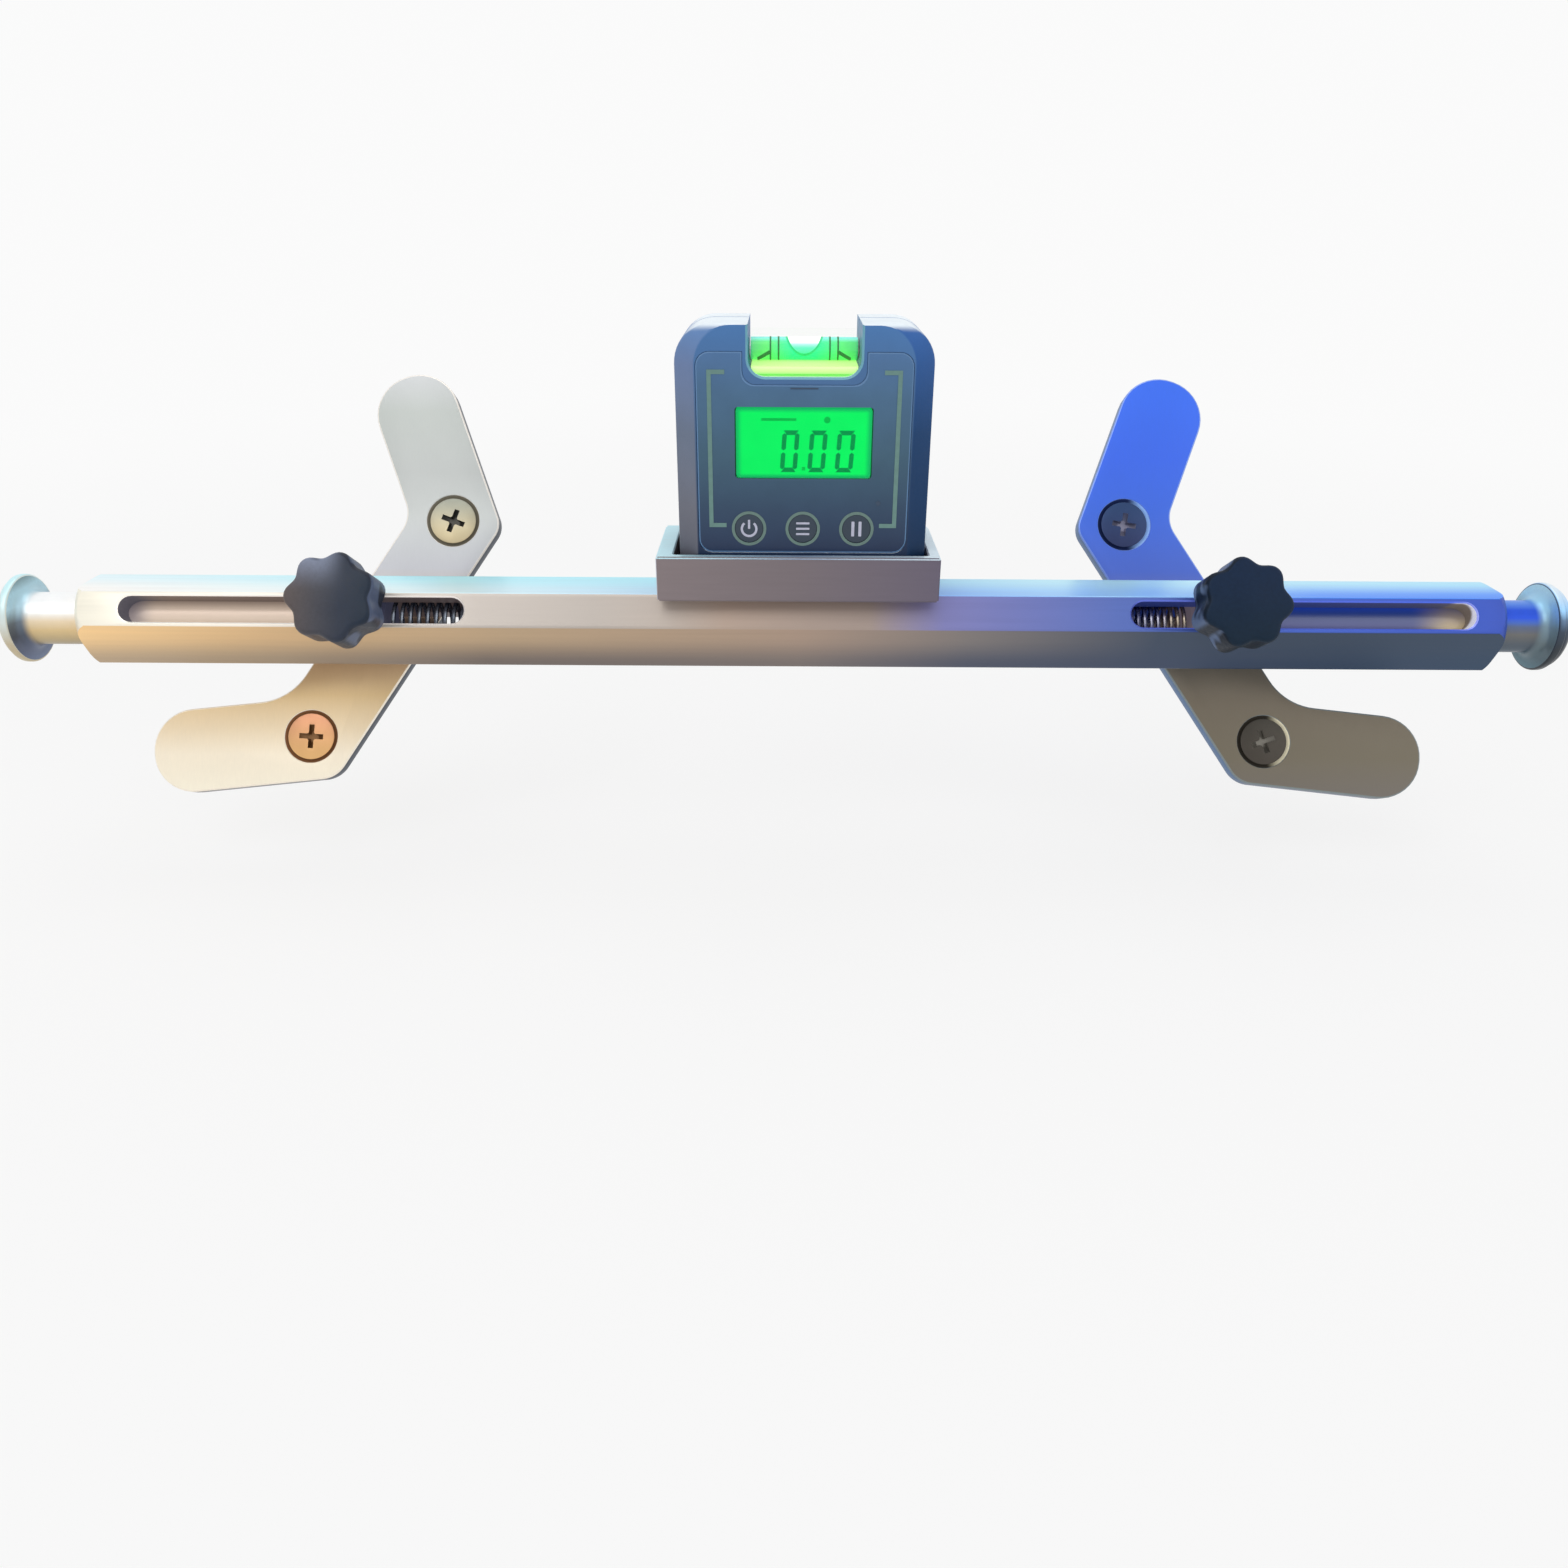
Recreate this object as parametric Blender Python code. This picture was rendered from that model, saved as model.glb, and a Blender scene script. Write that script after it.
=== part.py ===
"""Steering wheel level: a hexagonal bar with two sprung plungers, two clamped arms and a level box.

Metres, +Z up. The origin is on the bar's axis at mid-length, +X runs along the bar and -Y faces
the user. The slotted facets of the bar look 30 degrees above the horizon, as the arms do.
"""

import math

import bmesh
import bpy
from mathutils import Matrix, Vector

# Shared sizes
GAP = 0.0003
OVERRUN = 0.002
ROUND_SIDES = 16
SMALL_SIDES = 12
FINE_SIDES = 24
ARC_STEPS = 4
CORNER_STEPS = 7

# Bar: a solid hexagon, bored from both ends and slotted through its two narrow facets
BAR_LENGTH = 0.3630
SLOT_FLATS = 0.0252
SIDE_FLATS = 0.0202
FACET_TILT = math.radians(30)
FACET_STEP = math.radians(60)
END_CHAMFER = 0.0046
END_FACE_RADIUS = 0.0096
CORNER_CLEARANCE = 0.0004
BORE_DIAMETER = 0.0140
BORE_DEPTH = 0.1395
MOUTH_CHAMFER = 0.0005
SLOT_WIDTH = 0.0066
SLOT_LENGTH = 0.0865
SLOT_MARGIN = 0.0116

# Plunger: a turned rod with a mushroom push head
ROD_DIAMETER = 0.0134
HEAD_DIAMETER = 0.0226
HEAD_RIM = 0.0030
HEAD_DOME = 0.0028
HEAD_EDGE = 0.0006
NECK_FILLET = 0.0018
ROD_TAIL = 0.0061
ROD_REACH = 0.0863
HEAD_STANDOFFS = {"left": 0.0161, "right": 0.0116}
CROSS_HOLE_DIAMETER = 0.0066
SIDE_SIGNS = {"left": -1, "right": 1}
STUD_PLACES = {side: BAR_LENGTH / 2 + gap - ROD_REACH for side, gap in HEAD_STANDOFFS.items()}

# Spring behind each rod
SPRING_DIAMETER = 0.0126
WIRE_DIAMETER = 0.0011
SPRING_COILS = 34
POINTS_PER_COIL = 8

# Star knob and its stud
KNOB_DIAMETER = 0.0222
KNOB_LOBES = 7
KNOB_POINTS_PER_LOBE = 6
KNOB_TURNS = {"left": math.radians(24), "right": math.radians(-4.8)}
KNOB_VALLEY_DEPTH = 0.0025
KNOB_VALLEY_POWER = 1.4
KNOB_BOSS_DIAMETER = 0.0132
KNOB_BOSS_HEIGHT = 0.0052
KNOB_HEAD_HEIGHT = 0.0109
KNOB_EDGE = 0.0012
KNOB_HOLE_DEPTH = 0.0080
STUD_DIAMETER = 0.0059
STUD_HOLE_DIAMETER = 0.0066
STUD_CHAMFER = 0.0006
STUD_OVERHANG = 0.0014

# Arm plate: a bent flat bar, its stud hole in mid-limb and a screw at each bend
PLATE_THICKNESS = 0.0040
LIMB_WIDTH = 0.0224
BEND_DISTANCE = 0.0350
LIMB_LENGTH = 0.0315
BEND_ANGLE = math.radians(52)
PLATE_LEAN = math.radians(31.9)
INNER_BEND_RADIUS = 0.0080
OUTER_BEND_RADIUS = 0.0045
PLATE_EDGE = 0.0004
TIP_ROUND_SHARE = 0.97

# Countersunk screws, rim pegs and the clamp nut on each arm
SCREW_SPREAD = 0.0348
SCREW_SHIFT = 0.0007
ARM_SCREW_HEAD = 0.0132
SINK_CLEARANCE = 0.0004
ARM_SCREW_SHANK = 0.0059
ARM_SCREW_HOLE = 0.0066
ARM_SCREW_LENGTH = 0.0130
HEAD_LAND = 0.0003
CROSS_SPAN = 0.0064
CROSS_WIDTH = 0.0014
CROSS_DEPTH = 0.0016
PEG_DIAMETER = 0.0090
PEG_LENGTH = 0.0130
PEG_HOLE_DEPTH = 0.0105
PEG_EDGE = 0.0005
SLEEVE_DIAMETER = 0.0115
SLEEVE_LENGTH = 0.0122
NUT_FLATS = 0.0100
NUT_HEIGHT = 0.0060
NUT_FLANGE_DIAMETER = 0.0140
NUT_FLANGE_HEIGHT = 0.0014

# Level box housing
LEVEL_WIDTH = 0.0600
LEVEL_HEIGHT = 0.0600
LEVEL_DEPTH = 0.0250
LEVEL_CORNER = 0.0090
LEVEL_FOOT_CORNER = 0.0015
SIDE_BEVEL_WIDTH = 0.0048
SIDE_BEVEL_DEPTH = 0.0030
TOP_BEVEL_WIDTH = 0.0004
BACK_EDGE = 0.0010
SHELL_SPLIT = 0.0155
FRONT_WALL = 0.0024
BACK_WALL = 0.0020
SIDE_WALL = 0.0035
FLOOR_WALL = 0.0032
BOSS_WIDTH = 0.0060
BOSS_HEIGHT = 0.0063

# Tray on the bar's top facet
TRAY_HEIGHT = 0.0111
TRAY_WALL = 0.0025
TRAY_SIDE_ROOM = 0.0020
TRAY_FRONT_ROOM = 0.00025
TRAY_WIDTH = LEVEL_WIDTH + 2 * (TRAY_WALL + TRAY_SIDE_ROOM)
TRAY_DEPTH = LEVEL_DEPTH + 2 * (TRAY_WALL + TRAY_FRONT_ROOM)
TRAY_FLOOR = 0.0035
TRAY_SETBACK = -0.0003
LEVEL_SHIFT = 0.0010
TRAY_EDGE = 0.0005
TRAY_SCREW_INSET = 0.0125
TRAY_SCREW_SPACING = TRAY_WIDTH - 2 * TRAY_SCREW_INSET
TRAY_SCREW_HEAD = 0.0074
TRAY_SCREW_SHANK = 0.0037
TRAY_SCREW_HOLE = 0.0043
TRAY_SCREW_LENGTH = 0.0085
TRAY_SCREW_SINK = 0.0002

# Vial in the notch at the top
SHOULDER_WIDTH = 0.01705
NOTCH_WIDTH = LEVEL_WIDTH - 2 * SHOULDER_WIDTH
NOTCH_CORNER = 0.0040
NOTCH_DEPTH = 0.0111
VIAL_WIDTH = NOTCH_WIDTH - 2 * GAP
VIAL_BASE = LEVEL_HEIGHT - NOTCH_DEPTH
VIAL_HEIGHT = 0.0079
VIAL_SETBACK = 0.0006
VIAL_BORE_DIAMETER = 0.0052
VIAL_BORE_DROP = 0.0034
VIAL_BORE_END = 0.0012
VIAL_PLUG_LENGTH = 0.0016
CAVITY_LID = 0.0025
CAVITY_TOP = VIAL_BASE - CAVITY_LID
BUBBLE_LENGTH = 0.0081
BUBBLE_DIAMETER = 0.0044

# Overlay, window, display, keys
OVERLAY_MARGIN = 0.00045
OVERLAY_WIDTH = LEVEL_WIDTH - 2 * (SIDE_BEVEL_WIDTH + OVERLAY_MARGIN)
OVERLAY_BASE = 0.0081
OVERLAY_DROP = 0.0061
OVERLAY_TOP = LEVEL_HEIGHT - OVERLAY_DROP
OVERLAY_DIP_MARGIN = 0.0022
OVERLAY_DIP = VIAL_BASE - OVERLAY_DIP_MARGIN
OVERLAY_DIP_ROOM = 0.00155
OVERLAY_DIP_WIDTH = NOTCH_WIDTH + 2 * OVERLAY_DIP_ROOM
OVERLAY_CORNER = 0.0030
OVERLAY_THICKNESS = 0.0006
WINDOW_SIDE_MARGIN = 0.00895
WINDOW_WIDTH = OVERLAY_WIDTH - 2 * WINDOW_SIDE_MARGIN
WINDOW_BASE = 0.0259
WINDOW_TOP_MARGIN = 0.0050
WINDOW_HEIGHT = OVERLAY_DIP - WINDOW_TOP_MARGIN - WINDOW_BASE
WINDOW_CORNER = 0.0006
DISPLAY_MARGIN = 0.0030
DISPLAY_THICKNESS = 0.0016
BACKLIGHT_THICKNESS = 0.0022
BOARD_THICKNESS = 0.0012
BOARD_MARGIN = 0.0005
BOARD_WIDTH = LEVEL_WIDTH - 2 * (SIDE_WALL + BOARD_MARGIN)
BOARD_BASE = 0.0100
BOARD_TOP = CAVITY_TOP - BOARD_MARGIN
KEY_PLACES = {"power": -0.0129, "menu": 0.0, "hold": 0.0129}
KEY_HEIGHT = 0.0137
KEY_DIAMETER = 0.0070
KEY_FLANGE_DIAMETER = 0.0086
KEY_FLANGE_THICKNESS = 0.0010
KEY_EDGE = 0.0003
KEY_STEM_DIAMETER = 0.0030
KEY_TRAVEL = 0.0005

# Batteries, contacts, door, magnets and housing screws
CELL_DIAMETER = 0.0105
CELL_END_ROOM = 0.00425
CELL_LENGTH = LEVEL_WIDTH - 2 * (SIDE_WALL + CELL_END_ROOM)
CELL_TIP_DIAMETER = 0.0038
CELL_TIP_LENGTH = 0.0008
CELL_EDGE = 0.0004
CELL_HEIGHTS = {"lower": 0.0163, "upper": 0.0281}
CONTACT_THICKNESS = 0.0006
CONTACT_HEIGHT = 0.0220
CONTACT_DEPTH = 0.0090
DOOR_MARGIN = 0.0065
DOOR_WIDTH = LEVEL_WIDTH - 2 * DOOR_MARGIN
DOOR_HEIGHT = 0.0250
DOOR_CORNER = 0.0020
DOOR_THICKNESS = 0.0014
MAGNET_DIAMETER = 0.0100
MAGNET_THICKNESS = 0.0020
MAGNET_SPACING = 0.0280
MAGNET_SETBACK = 0.0085
CASE_SCREW_UPPER_SIDE = 0.0095
CASE_SCREW_UPPER_DROP = 0.0075
CASE_SCREW_LOWER_SIDE = 0.0062
CASE_SCREW_LOWER_HEIGHT = 0.0062
CASE_SCREW_UPPER = (LEVEL_WIDTH / 2 - CASE_SCREW_UPPER_SIDE, LEVEL_HEIGHT - CASE_SCREW_UPPER_DROP)
CASE_SCREW_LOWER = (LEVEL_WIDTH / 2 - CASE_SCREW_LOWER_SIDE, CASE_SCREW_LOWER_HEIGHT)
CASE_SCREW_HEAD = 0.0042
CASE_SCREW_HEAD_HEIGHT = 0.0014
CASE_SCREW_SHANK = 0.0020
CASE_SCREW_LENGTH = 0.0110
CASE_SCREW_HOLE = 0.0026
CASE_SCREW_SINK = 0.0003

SHARP_ANGLE = math.radians(35)
COLOURS = {
    "anodised_aluminium": ((0.72, 0.74, 0.76), 0.35, 0.9),
    "blued_aluminium": ((0.10, 0.18, 0.62), 0.35, 0.7),
    "bright_steel": ((0.62, 0.60, 0.55), 0.25, 1.0),
    "spring_steel": ((0.55, 0.56, 0.58), 0.3, 1.0),
    "black_nylon": ((0.02, 0.03, 0.05), 0.45, 0.0),
    "black_rubber": ((0.02, 0.02, 0.02), 0.8, 0.0),
    "navy_plastic": ((0.05, 0.08, 0.16), 0.5, 0.0),
    "overlay_film": ((0.06, 0.10, 0.16), 0.4, 0.0),
    "clear_acrylic": ((0.75, 0.95, 0.85), 0.05, 0.0),
    "vial_liquid": ((0.35, 0.95, 0.10), 0.1, 0.0),
    "display_green": ((0.0, 0.9, 0.12), 0.3, 0.0),
    "board_green": ((0.02, 0.22, 0.08), 0.6, 0.0),
    "cell_jacket": ((0.12, 0.13, 0.15), 0.4, 0.2),
    "nickel": ((0.66, 0.64, 0.60), 0.3, 1.0),
}


# Scene helpers


def clear_scene():
    for obj in list(bpy.data.objects):
        bpy.data.objects.remove(obj, do_unlink=True)


def material(name):
    found = bpy.data.materials.get(name)
    if found:
        return found
    colour, roughness, metallic = COLOURS[name]
    made = bpy.data.materials.new(name)
    made.use_nodes = True
    shader = made.node_tree.nodes["Principled BSDF"]
    shader.inputs["Base Color"].default_value = (*colour, 1.0)
    shader.inputs["Roughness"].default_value = roughness
    shader.inputs["Metallic"].default_value = metallic
    return made


def frame_empty(name, place=(0, 0, 0), turn=0.0, parent=None):
    empty = bpy.data.objects.new(name, None)
    bpy.context.scene.collection.objects.link(empty)
    empty.location = place
    empty.rotation_euler = (turn, 0, 0)
    empty.parent = parent
    return empty


def add_object(name, data, surface, parent, place):
    obj = bpy.data.objects.new(name, data)
    bpy.context.scene.collection.objects.link(obj)
    obj.parent = parent
    obj.location = place
    data.materials.append(material(surface))
    return obj


def solid(name, mesh_data, surface, parent=None, place=(0, 0, 0)):
    """An object from a bmesh, normals out, round sides shaded smooth."""
    bmesh.ops.recalc_face_normals(mesh_data, faces=mesh_data.faces)
    mesh = bpy.data.meshes.new(name)
    mesh_data.to_mesh(mesh)
    mesh_data.free()
    mesh.shade_smooth()
    mesh.set_sharp_from_angle(angle=SHARP_ANGLE)
    return add_object(name, mesh, surface, parent, place)


def cut(target, cutters):
    """Takes hidden cutters out of the target."""
    for cutter in cutters:
        cutter.hide_render = True
        cutter.display_type = "WIRE"
        step = target.modifiers.new("cut_" + cutter.name, "BOOLEAN")
        step.operation = "DIFFERENCE"
        step.object = cutter
    return target


# Outlines, in two dimensions


def arc(centre, radius, start, end, steps=ARC_STEPS):
    points = []
    for i in range(steps + 1):
        angle = start + (end - start) * i / steps
        points.append(Vector(centre) + Vector((radius * math.cos(angle), radius * math.sin(angle))))
    return points


def rounded(corners, steps=ARC_STEPS):
    """A closed outline through (x, y, radius) corners, each rounded by its own radius."""
    outline = []
    count = len(corners)
    for i, (x, y, radius) in enumerate(corners):
        here = Vector((x, y))
        if radius == 0:
            outline.append(here)
            continue
        before = (Vector(corners[i - 1][:2]) - here).normalized()
        after = (Vector(corners[(i + 1) % count][:2]) - here).normalized()
        half = before.angle(after) / 2
        centre = here + (before + after).normalized() * (radius / math.sin(half))
        start = here + before * (radius / math.tan(half)) - centre
        end = here + after * (radius / math.tan(half)) - centre
        turn = math.atan2(start.x * end.y - start.y * end.x, start.dot(end))
        first = math.atan2(start.y, start.x)
        outline += arc(centre, radius, first, first + turn, steps)
    return outline


def rectangle(width, low, high, radius=0.0, steps=ARC_STEPS):
    half = width / 2
    corners = [(-half, low, radius), (half, low, radius), (half, high, radius), (-half, high, radius)]
    return rounded(corners, steps)


def stadium(length, width, middle=0.0):
    """A slot outline along x with round ends."""
    straight = length / 2 - width / 2
    quarter = math.pi / 2
    right = arc((middle + straight, 0), width / 2, -quarter, quarter, 2 * ARC_STEPS)
    left = arc((middle - straight, 0), width / 2, quarter, 3 * quarter, 2 * ARC_STEPS)
    return right + left


# Solids


def loft(name, rings, surface, parent=None, place=(0, 0, 0)):
    """A closed solid through rings of equal point counts, capped at both ends."""
    mesh = bmesh.new()
    loops = [[mesh.verts.new(point) for point in ring] for ring in rings]
    for lower, upper in zip(loops, loops[1:]):
        for i in range(len(lower)):
            mesh.faces.new((lower[i - 1], lower[i], upper[i], upper[i - 1]))
    mesh.faces.new(list(reversed(loops[0])))
    mesh.faces.new(loops[-1])
    return solid(name, mesh, surface, parent, place)


def upright(outline, height):
    """An outline lying in x and y, at a height on z."""
    return [Vector((point.x, point.y, height)) for point in outline]


def standing(outline, depth):
    """An outline standing in x and z, at a depth on y."""
    return [Vector((point.x, depth, point.y)) for point in outline]


def across(outline, along):
    """An outline in y and z, at a place along x."""
    return [Vector((along, point.x, point.y)) for point in outline]


def prism(name, outline, low, high, surface, parent=None, place=(0, 0, 0), lay=upright):
    return loft(name, [lay(outline, low), lay(outline, high)], surface, parent, place)


TURNS = {
    "Z": Matrix.Identity(3),
    "X": Matrix.Rotation(math.pi / 2, 3, "Y"),
    "Y": Matrix.Rotation(-math.pi / 2, 3, "X"),
}


def ring_of_points(mesh, radius, height, sides, axis):
    """A ring about the axis, or one point on it where the radius is zero."""
    points = []
    for i in range(sides if radius > 0 else 1):
        angle = 2 * math.pi * i / sides
        point = Vector((radius * math.cos(angle), radius * math.sin(angle), height))
        points.append(mesh.verts.new(TURNS[axis] @ point))
    return points


def bridge(mesh, lower, upper, sides):
    """Faces between two rings, either of which may be a single point."""
    for i in range(sides):
        corners = [lower[0]] if len(lower) == 1 else [lower[i - 1], lower[i]]
        corners += [upper[0]] if len(upper) == 1 else [upper[i], upper[i - 1]]
        mesh.faces.new(corners)


def turned(name, profile, surface, parent=None, place=(0, 0, 0), sides=ROUND_SIDES, axis="Z", hollow=False):
    """A solid turned about an axis from (height, radius) points; a hollow profile closes on itself."""
    mesh = bmesh.new()
    rings = [ring_of_points(mesh, radius, height, sides, axis) for height, radius in profile]
    for lower, upper in zip(rings, rings[1:]):
        bridge(mesh, lower, upper, sides)
    if hollow:
        bridge(mesh, rings[-1], rings[0], sides)
    else:
        for ring in (rings[0], rings[-1]):
            if len(ring) > 1:
                mesh.faces.new(ring)
    return solid(name, mesh, surface, parent, place)


def drill(name, diameter, low, high, parent=None, place=(0, 0, 0), axis="Z", sides=ROUND_SIDES):
    """A round cutter."""
    profile = [(low, diameter / 2), (high, diameter / 2)]
    return turned(name, profile, "bright_steel", parent, place, sides, axis)


def slab(name, outline, front, back, surface, parent):
    """A flat piece or cutter whose outline stands in x and z."""
    return prism(name, outline, front, back, surface, parent, lay=standing)


def bore(name, diameter, front, back, parent, spot, sides=ROUND_SIDES):
    """A round cutter along y, at an (x, z) spot."""
    return drill(name, diameter, front, back, parent, (spot[0], 0, spot[1]), "Y", sides)


# Bar


def facet_point(first, second):
    """Where two facets of the bar meet, each given as (angle above the front horizon, distance)."""
    angle_a, reach_a = first
    angle_b, reach_b = second
    det = math.sin(angle_b - angle_a)
    front = (reach_a * math.sin(angle_b) - reach_b * math.sin(angle_a)) / det
    up = (reach_b * math.cos(angle_a) - reach_a * math.cos(angle_b)) / det
    return Vector((-front, up))


def bar_outline():
    """The hexagon in y and z: narrow slotted facets front and back, four equal facets between."""
    facets = []
    for i in range(6):
        flats = SLOT_FLATS if i % 3 == 0 else SIDE_FLATS
        facets.append((FACET_TILT + FACET_STEP * i, flats / 2))
    return [facet_point(facets[i - 1], facets[i]) for i in range(6)]


def corner_radius():
    return max(point.length for point in bar_outline()) + CORNER_CLEARANCE


def end_trimmer(side):
    """The ring that a lathe takes off the bar's corners at one end."""
    sign = SIDE_SIGNS[side]
    end = BAR_LENGTH / 2
    outside = corner_radius() + OVERRUN
    profile = [
        (sign * (end + OVERRUN), END_FACE_RADIUS),
        (sign * end, END_FACE_RADIUS),
        (sign * (end - END_CHAMFER), corner_radius()),
        (sign * (end - END_CHAMFER), outside),
        (sign * (end + OVERRUN), outside),
    ]
    name = side + "_end_trimmer"
    return turned(name, profile, "bright_steel", sides=2 * FINE_SIDES, axis="X", hollow=True)


def bore_cutter(side):
    sign = SIDE_SIGNS[side]
    end = BAR_LENGTH / 2
    radius = BORE_DIAMETER / 2
    profile = [
        (sign * (end - BORE_DEPTH), radius),
        (sign * (end - MOUTH_CHAMFER), radius),
        (sign * (end + OVERRUN), radius + MOUTH_CHAMFER + OVERRUN),
    ]
    return turned(side + "_bore", profile, "bright_steel", sides=FINE_SIDES, axis="X")


def slot_cutter(side, facet_frame):
    middle = SIDE_SIGNS[side] * (BAR_LENGTH / 2 - SLOT_MARGIN - SLOT_LENGTH / 2)
    reach = SLOT_FLATS / 2 + OVERRUN
    outline = stadium(SLOT_LENGTH, SLOT_WIDTH, middle)
    return prism(side + "_slot", outline, -reach, reach, "bright_steel", facet_frame)


def top_facet_middle():
    """Half way across the bar's top facet, on y."""
    top = [point for point in bar_outline() if point.y > SIDE_FLATS / 2 - GAP]
    return sum(point.x for point in top) / len(top)


def make_bar(facet_frame):
    half = BAR_LENGTH / 2
    bar = prism("hex_bar", bar_outline(), -half, half, "anodised_aluminium", lay=across)
    cutters = []
    for side in ("left", "right"):
        cutters += [end_trimmer(side), bore_cutter(side), slot_cutter(side, facet_frame)]
        x = SIDE_SIGNS[side] * TRAY_SCREW_SPACING / 2
        low = SIDE_FLATS / 2 - TRAY_SCREW_LENGTH
        place = (x, top_facet_middle(), 0)
        high = SIDE_FLATS / 2 + OVERRUN
        cutters.append(drill(side + "_tap_hole", TRAY_SCREW_HOLE, low, high, None, place))
    return cut(bar, cutters)


# Tray


def tray_base():
    return SIDE_FLATS / 2 + GAP


def tray_ring(inset, height):
    outline = rectangle(TRAY_WIDTH - 2 * inset, -TRAY_DEPTH / 2 + inset, TRAY_DEPTH / 2 - inset)
    return upright(outline, height)


def make_tray():
    place = (0, TRAY_SETBACK, tray_base())
    rings = [
        tray_ring(TRAY_EDGE, 0),
        tray_ring(0, TRAY_EDGE),
        tray_ring(0, TRAY_HEIGHT - TRAY_EDGE),
        tray_ring(TRAY_EDGE, TRAY_HEIGHT),
    ]
    tray = loft("holder_tray", rings, "anodised_aluminium", place=place)
    reach = TRAY_DEPTH / 2 - TRAY_WALL
    inside = rectangle(TRAY_WIDTH - 2 * TRAY_WALL, -reach, reach, TRAY_EDGE)
    cutters = [prism("tray_hollow", inside, TRAY_FLOOR, TRAY_HEIGHT + OVERRUN, "navy_plastic", place=place)]
    for side, sign in SIDE_SIGNS.items():
        spot = (sign * TRAY_SCREW_SPACING / 2, top_facet_middle(), tray_base())
        mouth = TRAY_SCREW_HEAD + 2 * SINK_CLEARANCE
        profile = countersink(TRAY_FLOOR, mouth, TRAY_SCREW_HOLE, TRAY_SCREW_SINK)
        cutters.append(turned(side + "_tray_sink", profile, "bright_steel", place=spot))
        make_tray_screw(side, spot)
    return cut(tray, cutters)


def countersink(surface_height, head, hole, sunk=0.0):
    """The cutter of a countersunk hole, its cone starting a short land below the surface height."""
    cone_top = surface_height - sunk - HEAD_LAND
    return [
        (surface_height - PLATE_THICKNESS - OVERRUN, hole / 2),
        (cone_top - (head - hole) / 2, hole / 2),
        (cone_top, head / 2),
        (surface_height + OVERRUN, head / 2),
    ]


def countersunk_screw(name, sizes, surface, parent, place, slots):
    """A screw along z from (head, shank, length), its flat head's top at height zero."""
    head, shank, length = sizes
    cone = (head - shank) / 2
    profile = [
        (-length, shank / 2 - HEAD_LAND),
        (HEAD_LAND - length, shank / 2),
        (-cone - HEAD_LAND, shank / 2),
        (-HEAD_LAND, head / 2),
        (0, head / 2),
    ]
    screw = turned(name, profile, surface, parent, place)
    half = CROSS_WIDTH / 2
    arm = slots / 2
    corners = [
        (arm, -half), (arm, half), (half, half), (half, arm), (-half, arm), (-half, half),
        (-arm, half), (-arm, -half), (-half, -half), (-half, -arm), (half, -arm), (half, -half),
    ]
    outline = [Vector(corner) for corner in corners]
    recess = prism(name + "_recess", outline, -CROSS_DEPTH, OVERRUN, surface, parent, place)
    return cut(screw, [recess])


def make_tray_screw(side, spot):
    top = (spot[0], spot[1], spot[2] + TRAY_FLOOR - TRAY_SCREW_SINK)
    sizes = (TRAY_SCREW_HEAD, TRAY_SCREW_SHANK, TRAY_SCREW_LENGTH)
    countersunk_screw(side + "_tray_screw", sizes, "bright_steel", None, top, TRAY_SCREW_HEAD / 2)


# Plunger and spring


def make_plunger(side, slide_frame, facet_turn):
    """The rod in its own frame at the stud, x along the bar."""
    sign = SIDE_SIGNS[side]
    rod = ROD_DIAMETER / 2
    head = HEAD_DIAMETER / 2
    profile = [(-ROD_TAIL, rod - HEAD_EDGE), (HEAD_EDGE - ROD_TAIL, rod)]
    for i in range(ARC_STEPS + 1):
        angle = math.pi / 2 * i / ARC_STEPS
        out = NECK_FILLET * (1 - math.cos(angle))
        profile.append((ROD_REACH - NECK_FILLET * (1 - math.sin(angle)), rod + out))
    profile += [
        (ROD_REACH, head - HEAD_EDGE),
        (ROD_REACH + HEAD_EDGE, head),
        (ROD_REACH + HEAD_RIM - HEAD_EDGE, head),
        (ROD_REACH + HEAD_RIM, head - HEAD_EDGE),
    ]
    base = head - HEAD_EDGE
    for i in range(1, ARC_STEPS + 1):
        angle = math.pi / 2 * i / ARC_STEPS
        radius = base * math.cos(angle) if i < ARC_STEPS else 0
        profile.append((ROD_REACH + HEAD_RIM + HEAD_DOME * math.sin(angle), radius))
    placed = [(sign * along, radius) for along, radius in profile]
    name = side + "_plunger"
    plunger = turned(name, placed, "anodised_aluminium", slide_frame, sides=FINE_SIDES, axis="X")
    reach = ROD_DIAMETER
    hole = drill(side + "_cross_hole", CROSS_HOLE_DIAMETER, -reach, reach, facet_turn)
    return cut(plunger, [hole])


def spring_points(side):
    """Points along the coil, with a straight end at the bore's bottom and at the rod's tail."""
    sign = SIDE_SIGNS[side]
    radius = (SPRING_DIAMETER - WIRE_DIAMETER) / 2
    start = BAR_LENGTH / 2 - BORE_DEPTH + GAP + WIRE_DIAMETER
    end = STUD_PLACES[side] - ROD_TAIL - GAP - WIRE_DIAMETER
    steps = SPRING_COILS * POINTS_PER_COIL
    points = [Vector((sign * (start - WIRE_DIAMETER), radius, 0))]
    for i in range(steps + 1):
        angle = 2 * math.pi * i / POINTS_PER_COIL
        along = start + (end - start) * i / steps
        points.append(Vector((sign * along, radius * math.cos(angle), radius * math.sin(angle))))
    points.append(Vector((sign * (end + WIRE_DIAMETER), radius, 0)))
    return points


def least_gap(points):
    """The least distance between stretches of wire at least half a coil apart, less the wire."""
    apart = POINTS_PER_COIL // 2
    nearest = min(
        (points[i] - points[j]).length
        for i in range(len(points))
        for j in range(i + apart, min(len(points), i + 2 * POINTS_PER_COIL))
    )
    return nearest - WIRE_DIAMETER


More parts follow.
